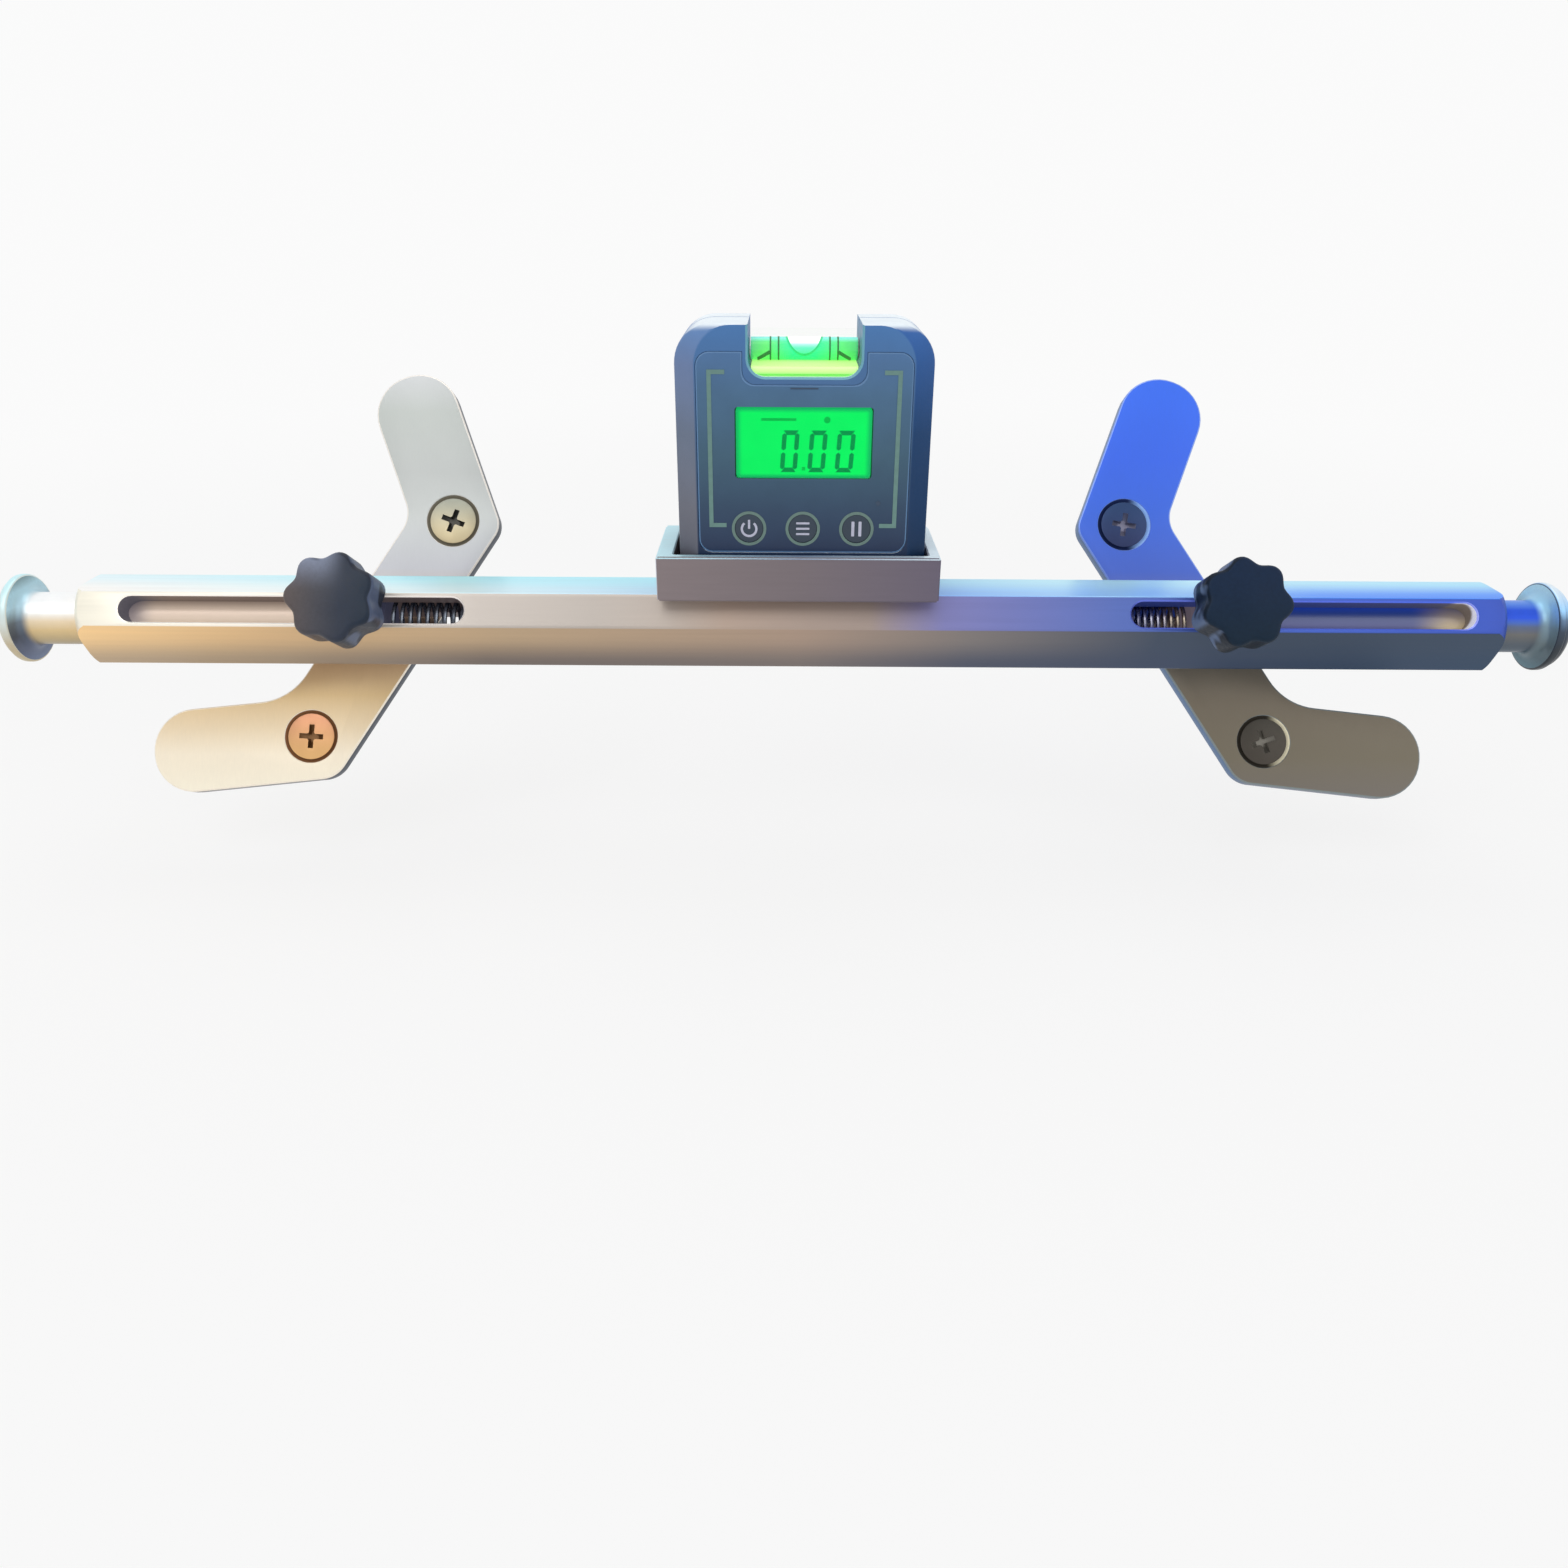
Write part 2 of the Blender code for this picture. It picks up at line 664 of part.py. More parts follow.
def make_spring(side):
    points = spring_points(side)
    curve = bpy.data.curves.new(side + "_spring", "CURVE")
    curve.dimensions = "3D"
    spline = curve.splines.new("POLY")
    spline.points.add(len(points) - 1)
    for slot, point in zip(spline.points, points):
        slot.co = (*point, 1)
    curve.bevel_depth = WIRE_DIAMETER / 2
    curve.bevel_resolution = 1
    curve.use_fill_caps = True
    print(side, "spring least gap", round(least_gap(points), 5))
    return add_object(side + "_spring", curve, "spring_steel", None, (0, 0, 0))


# Knob, stud and nut


def knob_outline(side, inset=0.0):
    """The lobed outline, turned as this side's knob stands when tight."""
    count = KNOB_LOBES * KNOB_POINTS_PER_LOBE
    outline = []
    for i in range(count):
        angle = 2 * math.pi * i / count
        valley = (1 - math.cos(KNOB_LOBES * angle)) / 2
        radius = KNOB_DIAMETER / 2 - KNOB_VALLEY_DEPTH * valley ** KNOB_VALLEY_POWER - inset
        turn = angle + KNOB_TURNS[side]
        outline.append(Vector((radius * math.cos(turn), radius * math.sin(turn))))
    return outline


def make_knob(side, stud_frame):
    base = SLOT_FLATS / 2 + GAP
    shoulder = base + KNOB_BOSS_HEIGHT
    top = shoulder + KNOB_HEAD_HEIGHT
    lobes = knob_outline(side)
    boss = round_like(lobes, KNOB_BOSS_DIAMETER / 2)
    rings = [
        upright(boss, base),
        upright(boss, shoulder - KNOB_EDGE),
        upright(knob_outline(side, KNOB_EDGE), shoulder),
        upright(lobes, shoulder + KNOB_EDGE),
        upright(lobes, top - 2 * KNOB_EDGE),
        upright(knob_outline(side, KNOB_EDGE / 2), top - KNOB_EDGE / 2),
        upright(knob_outline(side, 2 * KNOB_EDGE), top),
    ]
    knob = loft(side + "_knob", rings, "black_nylon", stud_frame)
    end = base + KNOB_HOLE_DEPTH
    hole = drill(side + "_knob_hole", STUD_HOLE_DIAMETER, base - OVERRUN, end, stud_frame)
    return cut(knob, [hole])


def round_like(outline, radius):
    """A circle with a point beside each point of an outline."""
    return [point.normalized() * radius for point in outline]


def stud_span():
    """The stud's two ends along the facet frame's z."""
    low = plate_back() - GAP - NUT_HEIGHT - STUD_OVERHANG
    high = SLOT_FLATS / 2 + KNOB_HOLE_DEPTH
    return low, high


def make_stud(side, stud_frame):
    low, high = stud_span()
    radius = STUD_DIAMETER / 2
    profile = [(low, radius - STUD_CHAMFER), (low + STUD_CHAMFER, radius), (high, radius)]
    return turned(side + "_knob_stud", profile, "bright_steel", stud_frame)


def make_nut(side, arm_frame):
    top = plate_back() - GAP
    hexagon = arc((0, 0), NUT_FLATS / math.sqrt(3), 0, 2 * math.pi, 6)[:-1]
    high = top - NUT_FLANGE_HEIGHT / 2
    nut = prism(side + "_clamp_nut", hexagon, top - NUT_HEIGHT, high, "bright_steel", arm_frame)
    flange = drill(side + "_nut_flange", NUT_FLANGE_DIAMETER, top - NUT_FLANGE_HEIGHT, top, arm_frame)
    flange.hide_render = True
    flange.display_type = "WIRE"
    joined = nut.modifiers.new("flange", "BOOLEAN")
    joined.operation = "UNION"
    joined.object = flange
    low = top - NUT_HEIGHT - OVERRUN
    return cut(nut, [drill(side + "_nut_hole", STUD_HOLE_DIAMETER, low, top + OVERRUN, arm_frame)])


# Arm plate, screws and pegs


def plate_front():
    return -(SLOT_FLATS / 2 + GAP)


def plate_back():
    return plate_front() - PLATE_THICKNESS


def lean(point, sign):
    """From the plate's own upright frame to the facet frame of one side."""
    turned_point = Matrix.Rotation(PLATE_LEAN, 2) @ Vector(point)
    return Vector((sign * turned_point.x, turned_point.y))


def plate_corners(inset):
    """Corners of the bent plate in its own frame, x outward along the bar and y along the mid-limb."""
    half = LIMB_WIDTH / 2 - inset
    along = Vector((math.sin(BEND_ANGLE), math.cos(BEND_ANGLE)))
    outer = Vector((-along.y, along.x))
    bend = Vector((0, BEND_DISTANCE))
    tip = bend + along * (LIMB_LENGTH + half)
    corner = half * math.tan(BEND_ANGLE / 2)
    tip_round = half * TIP_ROUND_SHARE
    upper = [
        (half, BEND_DISTANCE - corner, INNER_BEND_RADIUS + inset),
        (*(tip - outer * half), tip_round),
        (*(tip + outer * half), tip_round),
        (-half, BEND_DISTANCE + corner, OUTER_BEND_RADIUS - inset),
    ]
    lower = [(x, -y, radius) for x, y, radius in reversed(upper)]
    return upper + lower


def plate_ring(sign, inset, height):
    outline = [lean(point, sign) for point in rounded(plate_corners(inset))]
    return upright(outline, height)


def screw_places(sign):
    """Both screws stand a little to the outer side of the mid-limb's centre line."""
    heights = {"upper": SCREW_SPREAD, "lower": -SCREW_SPREAD}
    return {level: lean((SCREW_SHIFT, height), sign) for level, height in heights.items()}


def make_arm(side, arm_frame):
    sign = SIDE_SIGNS[side]
    front = plate_front()
    back = plate_back()
    rings = [
        plate_ring(sign, PLATE_EDGE, back),
        plate_ring(sign, 0, back + PLATE_EDGE),
        plate_ring(sign, 0, front - PLATE_EDGE),
        plate_ring(sign, PLATE_EDGE, front),
    ]
    surface = "anodised_aluminium" if side == "left" else "blued_aluminium"
    plate = loft(side + "_arm_plate", rings, surface, arm_frame)
    reach = PLATE_THICKNESS + OVERRUN
    high = front + OVERRUN
    cutters = [drill(side + "_stud_hole", STUD_HOLE_DIAMETER, front - reach, high, arm_frame)]
    for level, spot in screw_places(sign).items():
        name = side + "_" + level
        sink = countersink(0, ARM_SCREW_HEAD + 2 * SINK_CLEARANCE, ARM_SCREW_HOLE)
        place = (spot.x, spot.y, front)
        cutters.append(turned(name + "_sink", sink, "bright_steel", arm_frame, place))
        sizes = (ARM_SCREW_HEAD, ARM_SCREW_SHANK, ARM_SCREW_LENGTH)
        countersunk_screw(name + "_screw", sizes, "nickel", arm_frame, place, CROSS_SPAN)
        make_peg(name, arm_frame, (spot.x, spot.y, back - GAP))
    return cut(plate, cutters)


def make_peg(name, arm_frame, place):
    """A tapped post behind the plate, with a rubber sleeve that grips the wheel's rim."""
    post = PEG_DIAMETER / 2
    hole = ARM_SCREW_HOLE / 2
    profile = [
        (-PEG_LENGTH, 0),
        (-PEG_LENGTH, post - PEG_EDGE),
        (PEG_EDGE - PEG_LENGTH, post),
        (0, post),
        (0, hole),
        (-PEG_HOLE_DEPTH, hole),
        (-PEG_HOLE_DEPTH, 0),
    ]
    turned(name + "_peg", profile, "bright_steel", arm_frame, place)
    bore = post + GAP
    outside = SLEEVE_DIAMETER / 2
    sleeve = [
        (0, bore),
        (0, outside - PEG_EDGE),
        (-PEG_EDGE, outside),
        (PEG_EDGE - SLEEVE_LENGTH, outside),
        (-SLEEVE_LENGTH, outside - PEG_EDGE),
        (-SLEEVE_LENGTH, bore),
    ]
    turned(name + "_sleeve", sleeve, "black_rubber", arm_frame, place, hollow=True)


# Level box: its own frame is at the middle of its foot, the front at -y


FRONT = -LEVEL_DEPTH / 2
BACK = LEVEL_DEPTH / 2
SPLIT = FRONT + SHELL_SPLIT


def level_outline(side_inset, top_inset, corner):
    half = LEVEL_WIDTH / 2 - side_inset
    top = LEVEL_HEIGHT - top_inset
    foot = LEVEL_FOOT_CORNER
    corners = [(-half, 0, foot), (half, 0, foot), (half, top, corner), (-half, top, corner)]
    return rounded(corners, CORNER_STEPS)


def cavity_outline():
    half = LEVEL_WIDTH / 2 - SIDE_WALL
    step = half - BOSS_WIDTH
    boss = FLOOR_WALL + BOSS_HEIGHT
    corners = [
        (-step, FLOOR_WALL), (step, FLOOR_WALL), (step, boss), (half, boss),
        (half, CAVITY_TOP), (-half, CAVITY_TOP), (-half, boss), (-step, boss),
    ]
    return [Vector(corner) for corner in corners]


def notch_outline(width, base, top, corner):
    half = width / 2
    return rounded([(-half, base, corner), (half, base, corner), (half, top, 0), (-half, top, 0)])


def vial_seat(name, box):
    outline = notch_outline(NOTCH_WIDTH, VIAL_BASE - GAP, LEVEL_HEIGHT + OVERRUN, NOTCH_CORNER)
    return slab(name, outline, FRONT - OVERRUN, BACK + OVERRUN, "navy_plastic", box)


def overlay_outline(inset):
    half = OVERLAY_WIDTH / 2 - inset
    base = OVERLAY_BASE + inset
    top = OVERLAY_TOP - inset
    dip = OVERLAY_DIP_WIDTH / 2 + inset
    dip_base = OVERLAY_DIP - inset
    corner = OVERLAY_CORNER
    corners = [
        (-half, base, corner), (half, base, corner), (half, top, corner), (dip, top, 0),
        (dip, dip_base, corner), (-dip, dip_base, corner), (-dip, top, 0), (-half, top, corner),
    ]
    return rounded(corners)


def window_outline(growth):
    low = WINDOW_BASE - growth
    high = WINDOW_BASE + WINDOW_HEIGHT + growth
    return rectangle(WINDOW_WIDTH + 2 * growth, low, high, WINDOW_CORNER, 2)


def case_screw_places():
    places = {}
    for level, (x, z) in (("upper", CASE_SCREW_UPPER), ("lower", CASE_SCREW_LOWER)):
        for side, sign in SIDE_SIGNS.items():
            places[side + "_" + level] = (sign * x, z)
    return places


def magnet_places():
    y = FRONT + MAGNET_SETBACK
    return {side: (sign * MAGNET_SPACING / 2, y, 0) for side, sign in SIDE_SIGNS.items()}


def make_front_shell(box):
    rings = [
        standing(level_outline(SIDE_BEVEL_WIDTH, TOP_BEVEL_WIDTH, LEVEL_CORNER - TOP_BEVEL_WIDTH), FRONT),
        standing(level_outline(0, 0, LEVEL_CORNER), FRONT + SIDE_BEVEL_DEPTH),
        standing(level_outline(0, 0, LEVEL_CORNER), SPLIT),
    ]
    shell = loft("level_front_shell", rings, "navy_plastic", box)
    outside = FRONT - OVERRUN
    inside = FRONT + FRONT_WALL
    seat = FRONT + OVERLAY_THICKNESS + GAP
    cutters = [
        slab("front_cavity", cavity_outline(), inside, SPLIT + OVERRUN, "navy_plastic", box),
        vial_seat("front_vial_seat", box),
        slab("overlay_seat", overlay_outline(-GAP), outside, seat, "navy_plastic", box),
        slab("window_hole", window_outline(GAP), outside, inside + OVERRUN, "navy_plastic", box),
    ]
    for key, x in KEY_PLACES.items():
        place = (x, KEY_HEIGHT)
        cutters.append(bore(key + "_hole", KEY_DIAMETER + 2 * GAP, outside, inside + OVERRUN, box, place))
    tip = SPLIT - CASE_SCREW_LENGTH
    end = SPLIT + OVERRUN
    for name, place in case_screw_places().items():
        pilot = bore(name + "_pilot", CASE_SCREW_HOLE, tip, end, box, place, SMALL_SIDES)
        cutters.append(pilot)
    for side, place in magnet_places().items():
        depth = MAGNET_THICKNESS + GAP
        cutters.append(drill(side + "_magnet_seat", MAGNET_DIAMETER + 2 * GAP, -OVERRUN, depth, box, place))
    return cut(shell, cutters)


def make_back_shell(box):
    low = SPLIT + GAP
    rings = [
        standing(level_outline(0, 0, LEVEL_CORNER), low),
        standing(level_outline(0, 0, LEVEL_CORNER), BACK - BACK_EDGE),
        standing(level_outline(BACK_EDGE, BACK_EDGE, LEVEL_CORNER - BACK_EDGE), BACK),
    ]
    shell = loft("level_back_shell", rings, "navy_plastic", box)
    inside = BACK - BACK_WALL
    door = rectangle(DOOR_WIDTH, door_base(), door_base() + DOOR_HEIGHT, DOOR_CORNER, 3)
    cutters = [
        slab("back_cavity", cavity_outline(), low - OVERRUN, inside, "navy_plastic", box),
        vial_seat("back_vial_seat", box),
        slab("door_hole", door, inside - OVERRUN, BACK + OVERRUN, "navy_plastic", box),
    ]
    head = BACK - CASE_SCREW_SINK - CASE_SCREW_HEAD_HEIGHT - GAP
    wide = CASE_SCREW_HEAD + 2 * GAP
    start = low - OVERRUN
    for name, place in case_screw_places().items():
        way = bore(name + "_way", CASE_SCREW_HOLE, start, head + GAP, box, place, SMALL_SIDES)
        seat = bore(name + "_seat", wide, head, BACK + OVERRUN, box, place, SMALL_SIDES)
        cutters += [way, seat]
    return cut(shell, cutters)


def door_base():
    middle = (CELL_HEIGHTS["lower"] + CELL_HEIGHTS["upper"]) / 2
    return middle - DOOR_HEIGHT / 2


def make_case_screws(box):
    for name, (x, z) in case_screw_places().items():
        head_top = BACK - CASE_SCREW_SINK
        head_base = head_top - CASE_SCREW_HEAD_HEIGHT
        profile = [
            (SPLIT - CASE_SCREW_LENGTH + GAP, CASE_SCREW_SHANK / 2),
            (head_base, CASE_SCREW_SHANK / 2),
            (head_base, CASE_SCREW_HEAD / 2),
            (head_top, CASE_SCREW_HEAD / 2),
        ]
        turned("case_screw_" + name, profile, "bright_steel", box, (x, 0, z), SMALL_SIDES, "Y")


def make_overlay(box):
    back = FRONT + OVERLAY_THICKNESS
    overlay = slab("overlay_panel", overlay_outline(0), FRONT, back, "overlay_film", box)
    start = FRONT - OVERRUN
    end = back + OVERRUN
    cutters = [slab("overlay_window", window_outline(GAP), start, end, "overlay_film", box)]
    for key, x in KEY_PLACES.items():
        wide = KEY_DIAMETER + 2 * GAP
        cutters.append(bore(key + "_ring", wide, start, end, box, (x, KEY_HEIGHT)))
    return cut(overlay, cutters)


def make_display(box):
    """Window, display glass, backlight and board, one behind the other."""
    window_back = FRONT + FRONT_WALL
    slab("display_window", window_outline(0), FRONT, window_back, "clear_acrylic", box)
    low = WINDOW_BASE - DISPLAY_MARGIN
    high = WINDOW_BASE + WINDOW_HEIGHT + DISPLAY_MARGIN
    wide = WINDOW_WIDTH + 2 * DISPLAY_MARGIN
    outline = rectangle(wide, low, high)
    front = window_back + GAP
    slab("display_glass", outline, front, front + DISPLAY_THICKNESS, "display_green", box)
    front += DISPLAY_THICKNESS + GAP
    slab("backlight", outline, front, front + BACKLIGHT_THICKNESS, "clear_acrylic", box)
    board = rectangle(BOARD_WIDTH, BOARD_BASE, BOARD_TOP)
    slab("circuit_board", board, board_front(), board_front() + BOARD_THICKNESS, "board_green", box)


def board_front():
    return FRONT + FRONT_WALL + DISPLAY_THICKNESS + BACKLIGHT_THICKNESS + 3 * GAP


def make_keys(box):
    cap = KEY_DIAMETER / 2
    flange = KEY_FLANGE_DIAMETER / 2
    flange_front = FRONT + FRONT_WALL + GAP
    stem_end = board_front() - KEY_TRAVEL - GAP
    profile = [
        (FRONT, cap - KEY_EDGE),
        (FRONT + KEY_EDGE, cap),
        (flange_front, cap),
        (flange_front, flange),
        (flange_front + KEY_FLANGE_THICKNESS, flange),
        (flange_front + KEY_FLANGE_THICKNESS, KEY_STEM_DIAMETER / 2),
        (stem_end, KEY_STEM_DIAMETER / 2),
    ]
    for key, x in KEY_PLACES.items():
        turned("key_" + key, profile, "overlay_film", box, (x, 0, KEY_HEIGHT), ROUND_SIDES, "Y")


def vial_axis():
    return VIAL_BASE + VIAL_HEIGHT - VIAL_BORE_DROP


def make_vial(box):
    """A clear block bored along x from the right, with liquid, a bubble space and a plug."""
    outline = notch_outline(VIAL_WIDTH, VIAL_BASE, VIAL_BASE + VIAL_HEIGHT, NOTCH_CORNER - GAP)
    front = FRONT + VIAL_SETBACK
    block = slab("vial_block", outline, front, BACK - VIAL_SETBACK, "clear_acrylic", box)
    half = VIAL_WIDTH / 2
    place = (0, 0, vial_axis())
    closed_end = VIAL_BORE_END - half
    bore = drill("vial_bore", VIAL_BORE_DIAMETER, closed_end, half + OVERRUN, box, place, "X")
    cut(block, [bore])
    plug_start = half - VIAL_PLUG_LENGTH
    inner = VIAL_BORE_DIAMETER - 2 * GAP
    plug = [(plug_start, inner / 2), (half, inner / 2)]
    turned("vial_plug", plug, "navy_plastic", box, place, ROUND_SIDES, "X")
    column = [(closed_end + GAP, inner / 2), (plug_start - GAP, inner / 2)]
    liquid = turned("vial_liquid", column, "vial_liquid", box, place, ROUND_SIDES, "X")
    lift = (0, 0, vial_axis() + inner / 2)
    bubble = []
    for i in range(ARC_STEPS + 1):
        angle = math.pi * i / ARC_STEPS
        radius = BUBBLE_DIAMETER / 2 * math.sin(angle) if 0 < i < ARC_STEPS else 0
        bubble.append((-BUBBLE_LENGTH / 2 * math.cos(angle), radius))
    return cut(liquid, [turned("bubble_space", bubble, "vial_liquid", box, lift, ROUND_SIDES, "X")])


def make_cells(box):
    depth = board_front() + BOARD_THICKNESS + GAP + CELL_DIAMETER / 2 + CONTACT_THICKNESS
    radius = CELL_DIAMETER / 2
    half = CELL_LENGTH / 2
    tip = CELL_TIP_DIAMETER / 2
    for i, (level, height) in enumerate(CELL_HEIGHTS.items()):
        sign = -1 if i else 1
        profile = [
            (-half, radius - CELL_EDGE),
            (CELL_EDGE - half, radius),
            (half - CELL_TIP_LENGTH - CELL_EDGE, radius),
            (half - CELL_TIP_LENGTH, radius - CELL_EDGE),
            (half - CELL_TIP_LENGTH, tip),
            (half, tip),
        ]
        placed = [(sign * along, size) for along, size in profile]
        turned(level + "_cell", placed, "cell_jacket", box, (0, depth, height), ROUND_SIDES, "X")
    middle = sum(CELL_HEIGHTS.values()) / len(CELL_HEIGHTS)
    front = board_front() + BOARD_THICKNESS + GAP
    for side, sign in SIDE_SIGNS.items():
        near = sign * (half + GAP)
        far = near + sign * CONTACT_THICKNESS
        outline = [
            Vector((front, middle - CONTACT_HEIGHT / 2)),
            Vector((front + CONTACT_DEPTH, middle - CONTACT_HEIGHT / 2)),
            Vector((front + CONTACT_DEPTH, middle + CONTACT_HEIGHT / 2)),
            Vector((front, middle + CONTACT_HEIGHT / 2)),
        ]
        prism(side + "_contact", outline, near, far, "nickel", box, lay=across)


def make_door(box):
    inset = GAP
    low = door_base() + inset
    high = door_base() + DOOR_HEIGHT - inset
    outline = rectangle(DOOR_WIDTH - 2 * inset, low, high, DOOR_CORNER - inset, 3)
    slab("battery_door", outline, BACK - DOOR_THICKNESS, BACK, "navy_plastic", box)


def make_magnets(box):
    for side, place in magnet_places().items():
        profile = [(0, MAGNET_DIAMETER / 2), (MAGNET_THICKNESS, MAGNET_DIAMETER / 2)]
        turned(side + "_magnet", profile, "nickel", box, place)


def make_level():
    place = (LEVEL_SHIFT, TRAY_SETBACK, tray_base() + TRAY_FLOOR + GAP)
    box = frame_empty("level_frame", place)
    make_front_shell(box)
    make_back_shell(box)
    make_case_screws(box)
    make_overlay(box)
    make_display(box)
    make_keys(box)
    make_vial(box)
    make_cells(box)
    make_door(box)
    make_magnets(box)


# Whole part


def make_side(side):
    place = (SIDE_SIGNS[side] * STUD_PLACES[side], 0, 0)
    slide_frame = frame_empty(side + "_slide_frame", place)
    facet_turn = math.pi / 2 - FACET_TILT
    stud_frame = frame_empty(side + "_knob_frame", turn=facet_turn, parent=slide_frame)
    arm_frame = frame_empty(side + "_arm_frame", turn=facet_turn, parent=slide_frame)
    make_plunger(side, slide_frame, stud_frame)
    make_spring(side)
    make_knob(side, stud_frame)
    make_stud(side, stud_frame)
    make_nut(side, arm_frame)
    make_arm(side, arm_frame)


def main():
    clear_scene()
    facet_frame = frame_empty("facet_frame", turn=math.pi / 2 - FACET_TILT)
    make_bar(facet_frame)
    make_tray()
    for side in STUD_PLACES:
        make_side(side)
    make_level()


main()
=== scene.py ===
"""Looks of the steering wheel level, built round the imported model.

Metres, +X runs along the bar to the right, -Y faces the camera and +Z is up. The origin is on the
bar's axis at mid-length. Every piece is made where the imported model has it.
"""

import math

import bmesh
import bpy
from mathutils import Matrix, Vector


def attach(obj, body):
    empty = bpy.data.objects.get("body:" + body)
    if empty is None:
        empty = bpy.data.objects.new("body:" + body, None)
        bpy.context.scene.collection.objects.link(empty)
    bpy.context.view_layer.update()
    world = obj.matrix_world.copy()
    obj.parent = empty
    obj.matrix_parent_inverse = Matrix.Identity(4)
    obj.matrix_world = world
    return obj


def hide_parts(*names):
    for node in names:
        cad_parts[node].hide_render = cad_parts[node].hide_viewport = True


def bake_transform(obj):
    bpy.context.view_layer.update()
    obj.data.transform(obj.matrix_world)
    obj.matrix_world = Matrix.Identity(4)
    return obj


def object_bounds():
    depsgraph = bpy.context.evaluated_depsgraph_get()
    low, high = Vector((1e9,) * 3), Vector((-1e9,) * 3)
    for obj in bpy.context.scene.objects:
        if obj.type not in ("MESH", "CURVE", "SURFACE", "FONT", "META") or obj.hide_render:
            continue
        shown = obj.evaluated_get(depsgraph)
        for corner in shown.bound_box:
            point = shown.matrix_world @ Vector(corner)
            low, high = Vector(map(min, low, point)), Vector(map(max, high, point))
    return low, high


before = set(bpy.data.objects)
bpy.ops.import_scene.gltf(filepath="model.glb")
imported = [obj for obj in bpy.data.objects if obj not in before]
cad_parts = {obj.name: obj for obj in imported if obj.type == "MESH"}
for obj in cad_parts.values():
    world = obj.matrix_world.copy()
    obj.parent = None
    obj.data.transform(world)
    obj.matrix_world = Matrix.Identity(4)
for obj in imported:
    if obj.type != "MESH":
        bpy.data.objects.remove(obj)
CAD_BOX = [list(corner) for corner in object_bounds()]

MM = 0.001
NOISE_RANGE = (0.3, 0.7)
SIGNS = {"left": -1, "right": 1}
STEPS = 6
END_STEPS = 14
SMOOTH_SIDES = 72
SHARP_ANGLE = math.radians(32)
OVERRUN = 2 * MM
WELD = 1e-7
LEAST_RADIUS = 1e-6
GAP = 0.3 * MM

# Depths of the surfaces' grain
FAINT_GRAIN = 0.01 * MM
FINE_GRAIN = 0.02 * MM
GRAIN = 0.03 * MM
MOULDED_GRAIN = 0.04 * MM
COARSE_GRAIN = 0.05 * MM

# Bar
BAR_HALF = 181.5 * MM
SLOT_FLATS = 25.2 * MM
SIDE_FLATS = 20.2 * MM
FACET_TILT = math.radians(30)
FACET_STEP = math.radians(60)
FACET_TURN = math.radians(60)
EDGE_ROUND = 0.5 * MM
CORNER_RADIUS = 13.81 * MM
END_FACE_RADIUS = 10.2 * MM
END_REACHES = {"left": 181.5 * MM, "right": 178.4 * MM}
END_ROUNDS = {"left": 9.8 * MM, "right": 7.5 * MM}
END_SHIFTS = {"left": 0.4 * MM, "right": 0.15 * MM}
BORE_RADIUS = 7.0 * MM
BORE_DEPTH = 139.5 * MM
SLOT_WIDTH = 6.6 * MM
SLOT_LENGTH = 86.5 * MM
SLOT_MARGIN = 11.6 * MM
LIP = 0.35 * MM
TAP_RADIUS = 2.15 * MM
TAP_DEPTH = 8.5 * MM
TRAY_SCREW_PLACE = (22 * MM, -1.375 * MM)
TOP_FADE = (5 * MM, -8 * MM)
LOW_FADE = (0.5 * MM, -9.5 * MM)
# Where the right slot's mouth gets a painted glint: its depth across the bar and its place along it
MOUTH_SPAN = (-7.8 * MM, -9.2 * MM)
GLINT_SPAN = (163 * MM, 166 * MM)

# Plunger, spring, knob
STUD_PLACES = {"left": 111.3 * MM, "right": 106.8 * MM}
ROD_RADIUS = 6.7 * MM
ROD_TAIL = 6.1 * MM
ROD_REACHES = {"left": 87.3 * MM, "right": 84.6 * MM}
HEAD_RADIUS = 11.3 * MM
HEAD_RIM = 1.9 * MM
HEAD_DOMES = {"left": 2.5 * MM, "right": 4.4 * MM}
HEAD_EDGE = 0.5 * MM
NECK_FILLET = 2.6 * MM
CROSS_HOLE_RADIUS = 3.3 * MM
SPRING_START = 42.3 * MM
SPRING_RADIUS = 5.75 * MM
WIRE_RADIUS = 0.55 * MM
SPRING_COILS = {"left": 28, "right": 34}
COIL_POINTS = 20
WIRE_SIDES = 8
MOUTH_FADE = 4 * MM
TAIL_FADE = 2 * MM
FILLET_FADE = (3.2 * MM, 1.0 * MM)
KNOB_BASE = 12.9 * MM
KNOB_RADIUS = 11.1 * MM
KNOB_LOBES = 7
LOBE_POINTS = 12
KNOB_TURNS = {"left": math.radians(24), "right": math.radians(-4.8)}
VALLEY_DEPTH = 1.6 * MM
VALLEY_POWER = 1.15
BOSS_RADIUS = 6.6 * MM
BOSS_HEIGHT = 5.2 * MM
KNOB_HEIGHT = 10.9 * MM
KNOB_CENTRE = 0.01 * MM
KNOB_BORE = 8 * MM
KNOB_BACK_ROUND = 1.0 * MM
KNOB_FRONT_ROUND = 1.3 * MM
KNOB_DISH = 0.5 * MM
KNOB_FACE_RADIUS = 6.1 * MM
KNOB_FACE_SHARES = (1, 2 / 3, 1 / 3, 1 / 75)
BOSS_FOOT = 0.8 * MM
BOSS_COLLAR = 0.4 * MM
BOSS_COLLAR_BACK = 0.2 * MM
KNOB_SPAN = (-122 * MM, -100 * MM)
# Where the left knob's painted highlight lies, along the bar
KNOB_HIGHLIGHT_SPAN = (-107 * MM, -114 * MM)
KNOB_TOP_SPAN = (15 * MM, 25 * MM)
KNOB_HEIGHT_SPAN = (2 * MM, 22 * MM)
SPRING_WARM_SPAN = (92 * MM, 96 * MM)
TURN_AHEAD = 0.01

